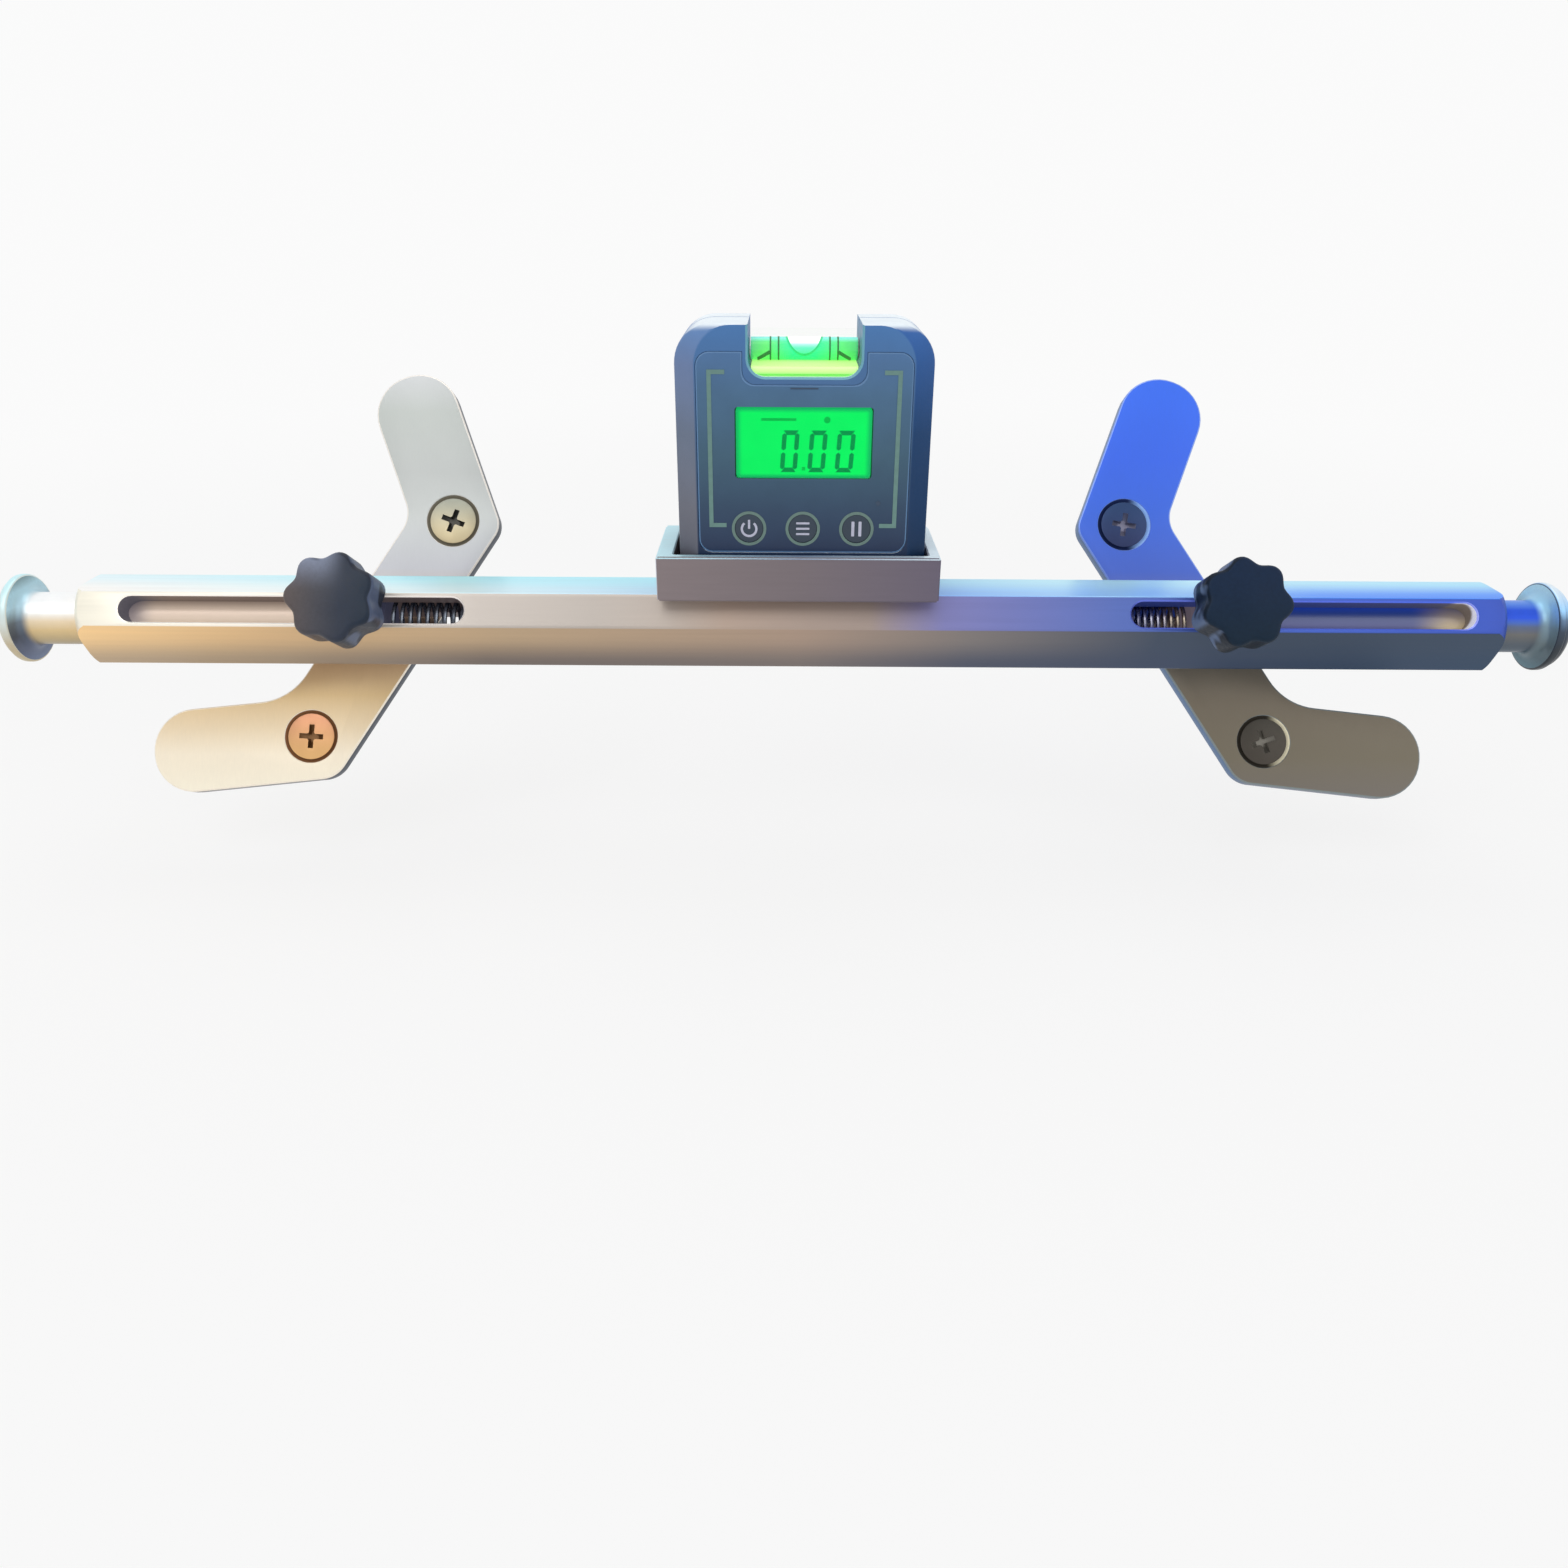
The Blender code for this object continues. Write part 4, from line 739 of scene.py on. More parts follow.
def tray_finish():
    """The tray, with painted light: taupe front, pale cyan top, lighter where it faces left, following the
    bar's painted warm to blue run.
    """
    paint = Paint("tray_finish", 0.4, 0.3)
    reach = TRAY_SIZE[0] / 2
    along = paint.axis("X")
    front = paint.ramp(along, -reach, reach, {0.0: "84787a", 0.5: "776d72", 1.0: "675f70"})
    top = paint.ramp(along, -reach, reach, {0.0: "c4ecf6", 0.5: "96aac4", 1.0: "def0fa"})
    shade = paint.mix(paint.span(paint.axis("Z", True), 0.45, 0.8), front, top)
    shade = paint.mix(paint.span(paint.axis("X", True), -0.5, -0.9), shade, "ceccd8")
    streaks = paint.noise(1100.0, (0.06, 1, 1), 4.0)
    paint.vary_roughness(streaks, 0.35, 0.46)
    paint.bump(paint.noise(2600.0), FINE_GRAIN, 0.25)
    return paint.mottled(shade, streaks, 0.97, 1.03)


def shell_finish():
    """Navy housing, darker toward its foot, with painted light and shade: mauve on the left bevel, darker
    on the right one, pale where it faces up.
    """
    paint = Paint("shell_plastic", 0.42, 0.0, Specular_IOR_Level=0.25)
    low = LEVEL_PLACE[2]
    height = paint.axis("Z")
    sideways = paint.axis("X", True)
    body = paint.ramp(height, low, low + LEVEL_TOP, {
        0.0: "182640", 0.15: "1d2e4c", 0.45: "345071", 0.75: "4a6c96", 1.0: "4a78b0",
    })
    left = paint.ramp(height, low, low + LEVEL_TOP, {
        0.0: "60606c", 0.3: "70727e", 0.6: "6c788e", 0.85: "6c80a8", 1.0: "6088be",
    })
    right = paint.ramp(height, low, low + LEVEL_TOP, {0.0: "0e2a4a", 0.6: "113d6b", 1.0: "3264aa"})
    shade = paint.mix(paint.span(sideways, -0.12, -0.4), body, left)
    shade = paint.mix(paint.span(sideways, 0.12, 0.4), shade, right)
    shade = paint.mix(paint.span(paint.axis("Z", True), 0.6, 0.95), shade, "eef8ff")
    grain = paint.noise(900.0, detail=4.0)
    paint.vary_roughness(grain, 0.36, 0.5)
    paint.bump(grain, MOULDED_GRAIN, 0.25)
    return paint.mottled(shade, paint.noise(110.0), 0.96, 1.04)


def panel_finish():
    """The printed panel: slate blue, greener and darker toward the keys."""
    paint = Paint("panel_film", 0.38, 0.0, Specular_IOR_Level=0.25)
    low = LEVEL_PLACE[2]
    shade = paint.ramp(paint.axis("Z"), low + PANEL_BASE, low + PANEL_TOP, {
        0.0: "263553", 0.2: "334862", 0.5: "426176", 0.8: "4a6c8c", 1.0: "5074a0",
    })
    shade = paint.mottle(shade, paint.noise(140.0), 0.95, 1.05)
    grain = paint.noise(1600.0)
    paint.vary_roughness(grain, 0.33, 0.44)
    paint.bump(grain, FINE_GRAIN, 0.2)
    return paint.colour(shade)


def print_finish(name, colour, glow=0.0):
    """Ink with a slightly uneven edge and tone."""
    paint = Paint(name, 0.5)
    shade = paint.mottle(colour, paint.noise(700.0), 0.93, 1.07)
    if glow:
        paint.glow(shade, glow)
    return paint.colour(shade)


def display_finish():
    """The lit display: even green, a little deeper toward its rim."""
    paint = Paint("display_lit", 0.5, Specular_IOR_Level=0.05, Base_Color=(0.0, 0.02, 0.01, 1.0))
    centre, low = LEVEL_PLACE[0], LEVEL_PLACE[2]
    left, right = centre - WINDOW_HALF, centre + WINDOW_HALF
    base, top = low + WINDOW_BASE, low + WINDOW_TOP
    along, height = paint.axis("X"), paint.axis("Z")
    shade = paint.mottle("02fa62", paint.noise(120.0), 0.96, 1.04)
    for source, start, end in (
        (along, right - WINDOW_RIM, right), (along, left + WINDOW_RIM, left),
        (height, top - WINDOW_TOP_RIM, top), (height, base + WINDOW_BASE_RIM, base),
    ):
        shade = paint.mix(paint.span(source, start, end), shade, "10ba62")
    paint.glow(shade, 0.92)
    return paint.material


def clear_finish(name, colour, alpha, roughness=0.08, gloss=0.5):
    paint = Paint(name, roughness, 0.0, IOR=1.46, Specular_IOR_Level=gloss, Alpha=alpha)
    haze = paint.noise(300.0)
    paint.vary_roughness(haze, roughness * 0.7, roughness * 1.4)
    return paint.mottled(colour, haze, 0.98, 1.02)


def liquid_finish():
    """Dyed spirit: green in the middle, limey toward the ends."""
    paint = Paint("vial_spirit", 0.15, 0.0, Coat_Weight=0.4)
    left, right = LEVEL_PLACE[0] - NOTCH_HALF, LEVEL_PLACE[0] + NOTCH_HALF
    shade = paint.ramp(paint.axis("X"), left, right, {
        0.0: "1eb48c", 0.04: "56e680", 0.16: "5eee74", 0.4: "00e6a4",
        0.6: "00e6a2", 0.84: "54f07a", 0.96: "46de78", 1.0: "1eb078",
    })
    low, high = (LEVEL_PLACE[2] + VIAL_AXIS + reach for reach in SPIRIT_TOP_SPAN)
    shade = paint.mix(paint.span(paint.axis("Z"), low, high), shade, "68e8da")
    paint.glow(shade, 0.3)
    return paint.colour(shade)


# Outlines and meshes


def turns(start, end, steps):
    """Evenly spaced angles, both ends included."""
    return [start + (end - start) * i / steps for i in range(steps + 1)]


def quarter(steps, size=1):
    """A size times one less the sine, and one less the cosine, of angles from 0 to 90 degrees."""
    return [(size * (1 - math.sin(a)), size * (1 - math.cos(a))) for a in turns(0, math.pi / 2, steps)]


def arc(centre, radius, start, end, steps=STEPS):
    x, y = centre
    return [Vector((x + radius * math.cos(a), y + radius * math.sin(a))) for a in turns(start, end, steps)]


def rounded(corners, steps=STEPS):
    """A closed outline through (x, y, radius) corners, each rounded by its own radius."""
    outline = []
    count = len(corners)
    for i, (x, y, radius) in enumerate(corners):
        here = Vector((x, y))
        if radius == 0:
            outline.append(here)
            continue
        before = (Vector(corners[i - 1][:2]) - here).normalized()
        after = (Vector(corners[(i + 1) % count][:2]) - here).normalized()
        half = before.angle(after) / 2
        centre = here + (before + after).normalized() * (radius / math.sin(half))
        start = here + before * (radius / math.tan(half)) - centre
        end = here + after * (radius / math.tan(half)) - centre
        turn = math.atan2(start.x * end.y - start.y * end.x, start.dot(end))
        first = math.atan2(start.y, start.x)
        outline += arc(centre, radius, first, first + turn, steps)
    return outline


def box_outline(half, low, high, radius=0.0, steps=STEPS):
    corners = [(-half, low, radius), (half, low, radius), (half, high, radius), (-half, high, radius)]
    return rounded(corners, steps)


def stadium(half_length, half_width, middle=0.0, steps=12):
    reach = half_length - half_width
    right = arc((middle + reach, 0), half_width, -math.pi / 2, math.pi / 2, steps)
    left = arc((middle - reach, 0), half_width, math.pi / 2, 3 * math.pi / 2, steps)
    return right + left


def upright(outline, height):
    return [Vector((point.x, point.y, height)) for point in outline]


def standing(outline, depth):
    return [Vector((point.x, depth, point.y)) for point in outline]


def across(outline, along):
    return [Vector((along, point.x, point.y)) for point in outline]


def circle(radius, height, axis="Z", sides=SMOOTH_SIDES):
    """A ring of points round an axis, at a height along it."""
    points = []
    for angle in turns(0, 2 * math.pi, sides)[:-1]:
        a, b = radius * math.cos(angle), radius * math.sin(angle)
        points.append(Vector({"X": (height, a, b), "Y": (a, height, b), "Z": (a, b, height)}[axis]))
    return points


def loft(rings, marks=(), closed=False):
    """A mesh through rings of points; strip i gets material marks[i], and the caps the end ones."""
    mesh = bmesh.new()
    made = [[mesh.verts.new(point) for point in ring] for ring in rings]
    pairs = list(zip(made, made[1:])) + ([(made[-1], made[0])] if closed else [])
    for i, (lower, upper) in enumerate(pairs):
        mark = marks[i] if i < len(marks) else 0
        for k in range(len(lower)):
            face = mesh.faces.new([lower[k - 1], lower[k], upper[k], upper[k - 1]])
            face.material_index = mark
    if not closed:
        first = mesh.faces.new(made[0])
        last = mesh.faces.new(made[-1])
        if marks:
            first.material_index = marks[0]
            last.material_index = marks[-1]
    bmesh.ops.remove_doubles(mesh, verts=mesh.verts, dist=WELD)
    bmesh.ops.recalc_face_normals(mesh, faces=mesh.faces)
    return mesh


def lathe(profile, axis="Z", sides=SMOOTH_SIDES, marks=(), closed=False):
    """A mesh turned round an axis from (along, radius) points."""
    rings = [circle(max(radius, LEAST_RADIUS), along, axis, sides) for along, radius in profile]
    return loft(rings, marks, closed)


def pin(low, high, radius, sides=32):
    """A cylinder about the Z axis."""
    return lathe([(low, radius), (high, radius)], sides=sides)


def moved(mesh, x, y, z):
    mesh.transform(Matrix.Translation((x, y, z)))
    return mesh


def slab(outline, front, back):
    return loft([standing(outline, front), standing(outline, back)])


def flared(front, back, lip):
    """The place and growth of a cutter's rings, wider at both mouths."""
    wide = lip + OVERRUN
    return ((front - OVERRUN, wide), (front + lip, 0), (back - lip, 0), (back + OVERRUN, wide))


def flat_faced(mesh):
    """Gives the flat ends of a loft the first material."""
    for face in mesh.faces:
        if len(face.verts) > 4:
            face.material_index = 0
    return mesh


def soften(mesh, width, steps=2, least=30):
    """Rounds the edges that are sharper than the least angle."""
    sharp = math.radians(least)
    edges = [edge for edge in mesh.edges if edge.is_manifold and edge.calc_face_angle() > sharp]
    bmesh.ops.bevel(mesh, geom=edges, offset=width, segments=steps, affect="EDGES", clamp_overlap=True)
    return mesh


def join(*meshes):
    """Several meshes as one."""
    whole = bmesh.new()
    for mesh in meshes:
        part = bpy.data.meshes.new("part")
        mesh.to_mesh(part)
        mesh.free()
        whole.from_mesh(part)
        bpy.data.meshes.remove(part)
    return whole


def piece(name, mesh, surfaces, place=IDENTITY):
    """A shown object from a mesh, its place kept in its points."""
    data = bpy.data.meshes.new(name)
    mesh.transform(place)
    mesh.to_mesh(data)
    mesh.free()
    obj = bpy.data.objects.new(name, data)
    bpy.context.scene.collection.objects.link(obj)
    for surface in surfaces if isinstance(surfaces, (list, tuple)) else [surfaces]:
        data.materials.append(surface)
    shade(data)
    return obj


def shade(data):
    data.shade_smooth()
    data.set_sharp_from_angle(angle=SHARP_ANGLE)


def carve(obj, cutters, place=IDENTITY, kind="DIFFERENCE"):
    """Takes cutters, each (mesh, material number), out of a piece, or keeps what they share with it."""
    tools = []
    for mesh, mark in cutters:
        if mark is not None:
            for face in mesh.faces:
                face.material_index = mark
        tool = piece("cutter", mesh, list(obj.data.materials), place)
        step = obj.modifiers.new("carve", "BOOLEAN")
        step.operation = kind
        step.solver = "EXACT"
        step.object = tool
        tools.append(tool)
    graph = bpy.context.evaluated_depsgraph_get()
    carved = bpy.data.meshes.new_from_object(obj.evaluated_get(graph), depsgraph=graph)
    obj.modifiers.clear()
    obj.data = carved
    for tool in tools:
        bpy.data.objects.remove(tool)
    shade(carved)
    return obj


def stand_for(obj, body, nodes=()):
    """Puts a piece on its body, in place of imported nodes."""
    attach(obj, body)
    if nodes:
        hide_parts(*nodes)
    return obj


# Bar and tray


def facet_corner(first, second):
    """Where two of the bar's facets meet, each given as (angle above the front horizon, distance)."""
    (angle_a, reach_a), (angle_b, reach_b) = first, second
    det = math.sin(angle_b - angle_a)
    front = (reach_a * math.sin(angle_b) - reach_b * math.sin(angle_a)) / det
    up = (reach_b * math.cos(angle_a) - reach_a * math.cos(angle_b)) / det
    return (-front, up, EDGE_ROUND)


def bar_outline():
    facets = []
    for i in range(6):
        flats = SLOT_FLATS if i % 3 == 0 else SIDE_FLATS
        facets.append((FACET_TILT + FACET_STEP * i, flats / 2))
    return rounded([facet_corner(facets[i - 1], facets[i]) for i in range(6)], 4)


def end_trimmer(side):
    """The cutter that turns one end of the bar to a convex round, a little above the bar's axis."""
    sign, reach, length = SIGNS[side], END_REACHES[side], END_ROUNDS[side]
    widest = CORNER_RADIUS + END_SHIFTS[side]
    outside, beyond = CORNER_RADIUS + OVERRUN, sign * (BAR_HALF + OVERRUN)
    profile = [(beyond, 0), (sign * reach, 0)]
    for short, back in quarter(END_STEPS):
        profile.append((sign * (reach - length * back), widest - (widest - END_FACE_RADIUS) * short))
    profile += [(sign * (reach - length), outside), (beyond, outside)]
    return moved(lathe(profile, "X"), 0, 0, END_SHIFTS[side])


def bore_cutter(side):
    mouth = END_REACHES[side]
    profile = [
        (BAR_HALF - BORE_DEPTH, 0), (BAR_HALF - BORE_DEPTH, BORE_RADIUS), (mouth - LIP, BORE_RADIUS),
        (mouth + OVERRUN, BORE_RADIUS + LIP + OVERRUN), (mouth + OVERRUN, 0),
    ]
    return lathe([(SIGNS[side] * along, radius) for along, radius in profile], "X")


def slot_cutter(sign):
    """A slot through both narrow facets, flared at the two mouths."""
    middle = sign * (BAR_HALF - SLOT_MARGIN - SLOT_LENGTH / 2)
    rings = []
    for height, growth in flared(-SLOT_FLATS / 2, SLOT_FLATS / 2, LIP):
        outline = stadium(SLOT_LENGTH / 2 + growth, SLOT_WIDTH / 2 + growth, middle)
        rings.append(upright(outline, height))
    mesh = loft(rings, (1, 2, 1))
    mesh.transform(FACET_FRAME)
    return mesh


def make_bar():
    body = loft([across(bar_outline(), -BAR_HALF), across(bar_outline(), BAR_HALF)])
    bar = piece("bar_extrusion", body, [anodised_bar_painted_light(), lip_finish(), slot_wall()])
    cutters = []
    x, y = TRAY_SCREW_PLACE
    for side, sign in SIGNS.items():
        tap = pin(SIDE_FLATS / 2 - TAP_DEPTH, SIDE_FLATS / 2 + OVERRUN, TAP_RADIUS, 24)
        cutters += [(end_trimmer(side), 0), (bore_cutter(side), 2), (slot_cutter(sign), None)]
        cutters.append((moved(tap, sign * x, y, 0), 2))
    carve(bar, cutters)
    return stand_for(bar, "bar", ["hex_bar"])


def make_tray():
    wide, deep, high = TRAY_SIZE
    outline = box_outline(wide / 2, -deep / 2, deep / 2, TRAY_CORNER)
    body = soften(loft([upright(outline, level) for level in (0, high)]), TRAY_EDGE, 3)
    tray = piece("tray_milled", body, [tray_finish()], TRAY_FRAME)
    reach = deep / 2 - TRAY_WALL
    left, right = TRAY_INSIDE
    flare = TRAY_FLARE + OVERRUN
    inside = []
    for height, growth in ((TRAY_FLOOR, 0), (high - TRAY_FLARE, 0), (high + OVERRUN, flare)):
        corner = TRAY_POCKET_CORNER + growth
        near, far = -reach - growth, reach + growth
        inside.append(upright(rounded([
            (left - growth, near, corner), (right + growth, near, corner),
            (right + growth, far, corner), (left - growth, far, corner),
        ]), height))
    cutters = [(loft(inside), 0)]
    x, y = TRAY_SCREW_PLACE
    for sign in SIGNS.values():
        sink = lathe([(-OVERRUN, TAP_RADIUS)] + TRAY_SINK, sides=32)
        cutters.append((moved(sink, sign * x, y - TRAY_PLACE[1], 0), 0))
    carve(tray, cutters, TRAY_FRAME)
    return stand_for(tray, "bar", ["holder_tray"])


# Plungers, springs and knobs


# Painted light and shade of the rods outside the bar, by how far a spot faces up
NECK_STOPS = {
    "left": {
        0.0: "867d6b", 0.2: "baa67e", 0.42: "e0c490", 0.6: "f2debc",
        0.75: "fcfcfa", 1.0: "fcfeff",
    },
    "right": {
        0.0: "263850", 0.12: "304658", 0.3: "545e68", 0.5: "70706e",
        0.65: "5a6a8c", 0.72: "3e66be", 0.8: "124ed8", 0.92: "1652dc", 1.0: "548ce8",
    },
}
# Painted light and shade of the rods inside the bar, by how far a spot faces up
ROD_STOPS = {
    "left": {
        0.0: "ccbcac", 0.5: "d8c7b6", 0.62: "c4b3a2", 0.75: "beac9d",
        0.85: "b6a596", 0.93: "8c7c71", 1.0: "6e6058",
    },
    "right": {
        0.0: "646896", 0.5: "5c6496", 0.62: "5c6088", 0.78: "4e567a",
        0.86: "283e82", 0.93: "2040a4", 1.0: "203ea0",
    },
}
# Painted shade at the rods' tails, and painted light and shade at the slots' ends
TAIL_PAINTED_SHADE = {"left": "343648", "right": "746870"}
SLOT_END_PAINTED_LIGHT = {
    "left": ((-163 * MM, -170 * MM), {0.0: "b0a49e", 0.6: "a09492", 0.9: "6a6268", 1.0: "58545e"}),
    "right": ((156 * MM, 167 * MM), {0.0: "968b72", 0.65: "ac9c7e", 0.8: "887c74", 1.0: "404670"}),
}
# Painted light and shade of the head faces, by height
FACE_STOPS = {
    "left": {
        0.0: "707e9c", 0.2: "58627c", 0.4: "4e5666", 0.56: "6a7886",
        0.72: "b2d4e2", 0.86: "acd2e0", 1.0: "688286",
    },
    "right": {
        0.0: "5a7e8c", 0.2: "526872", 0.4: "68787e", 0.6: "7c96a4",
        0.8: "9ed2f0", 1.0: "b0d8e8",
    },
}
# Painted light and shade of the head rims, by how far a spot faces up
RIM_STOPS = {
    "left": {0.0: "baac8a", 0.35: "c6b89a", 0.6: "dae4e0", 1.0: "cef8ff"},
    "right": {
        0.0: "242c32", 0.4: "2a323a", 0.6: "364456", 0.72: "5a7696", 0.82: "a0d4ff",
        1.0: "e2f0fa",
    },
}


def plunger_profile(side):
    """Outline of rod, neck fillet and head as (along, radius), with the material of each strip."""
    reach, flat = ROD_REACHES[side], HEAD_RADIUS - HEAD_EDGE
    profile = [(-ROD_TAIL, 0), (-ROD_TAIL, ROD_RADIUS - HEAD_EDGE), (HEAD_EDGE - ROD_TAIL, ROD_RADIUS)]
    profile += [(reach - back, ROD_RADIUS + out) for back, out in quarter(STEPS, NECK_FILLET)]
    neck = len(profile) - 1
    profile.append((reach, flat))
    for end, first in ((reach + HEAD_EDGE, math.pi), (reach + HEAD_RIM - HEAD_EDGE, math.pi / 2)):
        for angle in turns(first, first - math.pi / 2, 3):
            profile.append((end + HEAD_EDGE * math.cos(angle), flat + HEAD_EDGE * math.sin(angle)))
    rim = len(profile) - 1
    for short, back in quarter(2 * STEPS)[1:]:
        profile.append((reach + HEAD_RIM + HEAD_DOMES[side] * (1 - short), flat * (1 - back)))
    return profile, [0] * neck + [1] + [2] * (rim - neck - 1 + 2 * STEPS)


def make_plunger(side):
    sign = SIGNS[side]
    profile, marks = plunger_profile(side)
    mesh = lathe([(sign * along, radius) for along, radius in profile], "X", 96, marks)
    surfaces = [
        neck_finish(side),
        turned_face(side + "_head_face", FACE_STOPS[side]),
        turned_metal(side + "_head_rim", RIM_STOPS[side]),
    ]
    place = Matrix.Translation((sign * STUD_PLACES[side], 0, 0))
    rod = piece(side + "_push_rod", mesh, surfaces, place)
    hole = pin(-2 * ROD_RADIUS, 2 * ROD_RADIUS, CROSS_HOLE_RADIUS)
    carve(rod, [(hole, 0)], side_frame(side))
    return stand_for(rod, side + "_slider", [side + "_plunger"])


def coil_point(start, end, coils, turn):
    share, angle = turn / coils, 2 * math.pi * turn
    around = (SPRING_RADIUS * math.cos(angle), SPRING_RADIUS * math.sin(angle))
    return Vector((start + (end - start) * share, *around))


def make_spring(side):
    """A round wire coil between the bore's bottom and the rod's tail."""
    sign, coils = SIGNS[side], SPRING_COILS[side]
    start = sign * (SPRING_START + WIRE_RADIUS)
    end = sign * (STUD_PLACES[side] - ROD_TAIL - GAP - WIRE_RADIUS)
    rings = []
    for turn in turns(0, coils, coils * COIL_POINTS):
        here = coil_point(start, end, coils, turn)
        ahead = (coil_point(start, end, coils, turn + TURN_AHEAD) - here).normalized()
        out = Vector((0, here.y, here.z)).normalized()
        over = ahead.cross(out)
        rings.append([
            here + WIRE_RADIUS * (math.cos(angle) * out + math.sin(angle) * over)
            for angle in turns(0, 2 * math.pi, WIRE_SIDES)[:-1]
        ])
    spring = piece(side + "_coil", loft(rings), [spring_finish(side)])
    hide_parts(side + "_spring")
    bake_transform(spring)
    return spring


def spring_finish(side):
    """Drawn wire: a painted highlight where it faces the front, painted shade between the coils, the right
    coil warmer toward its outer end.
    """
    paint = Paint(side + "_wire", 0.28, 0.6)
    grain = paint.noise(1800.0, detail=2.0)
    light, dark = "a2acba", "384258"
    if side == "right":
        near = paint.span(paint.axis("X"), *SPRING_WARM_SPAN)
        light, dark = paint.mix(near, "c4c4d6", "c4b6a2"), paint.mix(near, "24285c", "987e64")
    shade = paint.mix(paint.span(paint.axis("Y", True), -0.4, -0.92), dark, light)
    paint.vary_roughness(grain, 0.22, 0.36)
    return paint.mottled(shade, grain, 0.9, 1.08)


def knob_ring(side, height, inset=0, radius=None):
    """A ring of a knob: round if a radius is given, else lobed and inset from the knob's outline."""
    points = []
    for angle in turns(0, 2 * math.pi, KNOB_LOBES * LOBE_POINTS)[:-1]:
        valley = ((1 - math.cos(KNOB_LOBES * angle)) / 2) ** VALLEY_POWER
        reach = radius or KNOB_RADIUS - VALLEY_DEPTH * valley - inset
        turn = angle + KNOB_TURNS[side]
        points.append(Vector((reach * math.cos(turn), reach * math.sin(turn), height)))
    return points


def make_knob(side):
    """A seven-lobed knob: boss, lobed head with full round edges, and a slightly domed face."""
    shoulder = KNOB_BASE + BOSS_HEIGHT
    top = shoulder + KNOB_HEIGHT
    boss = [(KNOB_BASE, KNOB_CENTRE), (KNOB_BASE, BOSS_RADIUS), (shoulder - BOSS_FOOT, BOSS_RADIUS)]
    boss.append((shoulder - BOSS_COLLAR_BACK, BOSS_RADIUS + BOSS_COLLAR))
    rings = [knob_ring(side, height, radius=radius) for height, radius in boss]
    rings += [knob_ring(side, shoulder + rise, inset) for inset, rise in quarter(4, KNOB_BACK_ROUND)]
    rim = top - KNOB_DISH
    rings += [knob_ring(side, rim - drop, inset) for drop, inset in quarter(5, KNOB_FRONT_ROUND)]
    for share in KNOB_FACE_SHARES:
        rings.append(knob_ring(side, top - KNOB_DISH * share ** 2, radius=KNOB_FACE_RADIUS * share))
    knob = piece(side + "_star_knob", loft(rings), [knob_finish(side)], side_frame(side))
    hole = pin(KNOB_BASE - OVERRUN, KNOB_BASE + KNOB_BORE, CROSS_HOLE_RADIUS)
    carve(knob, [(hole, 0)], side_frame(side))
    return stand_for(knob, side + "_clamp_knob", [side + "_knob"])


# Arms


def lean(point, sign):
    turned = Matrix.Rotation(PLATE_LEAN, 2) @ Vector(point)
    return Vector((sign * turned.x, turned.y))


def plate_outline(sign, inset):
    half = LIMB_HALF - inset
    along = Vector((math.sin(BEND_ANGLE), math.cos(BEND_ANGLE)))
    outer = Vector((-along.y, along.x)) * half
    tip = Vector((0, BEND_DISTANCE)) + along * (LIMB_LENGTH + half)
    corner = half * math.tan(BEND_ANGLE / 2)
    tip_round = half * TIP_ROUND_SHARE
    upper, lower = (
        [(half, BEND_DISTANCE - corner, inner + inset), (*(tip - outer), tip_round),
         (*(tip + outer), tip_round), (-half, BEND_DISTANCE + corner, bend - inset)]
        for inner, bend in (UPPER_RADII, LOWER_RADII)
    )
    lower = [(x, -y, radius) for x, y, radius in reversed(lower)]
    return [lean(point, sign) for point in rounded(upper + lower, 10)]


def screw_places(sign):
    heights = {"upper": SCREW_SPREAD, "lower": -SCREW_SPREAD}
    return {level: lean((SCREW_SHIFT, height), sign) for level, height in heights.items()}


def sink_cutter(spot):
    """A countersunk hole whose mouth has a fine edge with the plate's painted highlight."""
    wide, hole = SCREW_HEAD_RADIUS + SINK_ROOM, SCREW_SHANK_RADIUS + SINK_ROOM
    seat = PLATE_FRONT - GAP
    profile = [
        (PLATE_BACK - OVERRUN, hole), (seat - (wide - hole), hole), (seat, wide),
        (PLATE_FRONT - SINK_EDGE / 2, wide), (PLATE_FRONT + OVERRUN, wide + SINK_EDGE + OVERRUN),
    ]
    return moved(lathe(profile, marks=(3, 3, 3, 2)), spot.x, spot.y, 0)


def make_plate(side):
    sign = SIGNS[side]
    steps = [(PLATE_BACK + rise, inset) for inset, rise in quarter(3, PLATE_EDGE)]
    steps += [(PLATE_FRONT - drop, inset) for drop, inset in quarter(3, PLATE_EDGE)]
    rings = [upright(plate_outline(sign, inset), height) for height, inset in steps]
    body = flat_faced(loft(rings, (1, 1, 1, 1, 2, 2, 2)))
    surfaces = [plate_finish(side), plate_edge(side), plate_bevel(side), sink_finish(side)]
    plate = piece(side + "_plate_bent", body, surfaces, side_frame(side))
    cutters = [(pin(PLATE_BACK - OVERRUN, PLATE_FRONT + OVERRUN, CROSS_HOLE_RADIUS), 1)]
    cutters += [(sink_cutter(spot), None) for spot in screw_places(sign).values()]
    carve(plate, cutters, side_frame(side))
    return stand_for(plate, side + "_arm", [side + "_arm_plate"])


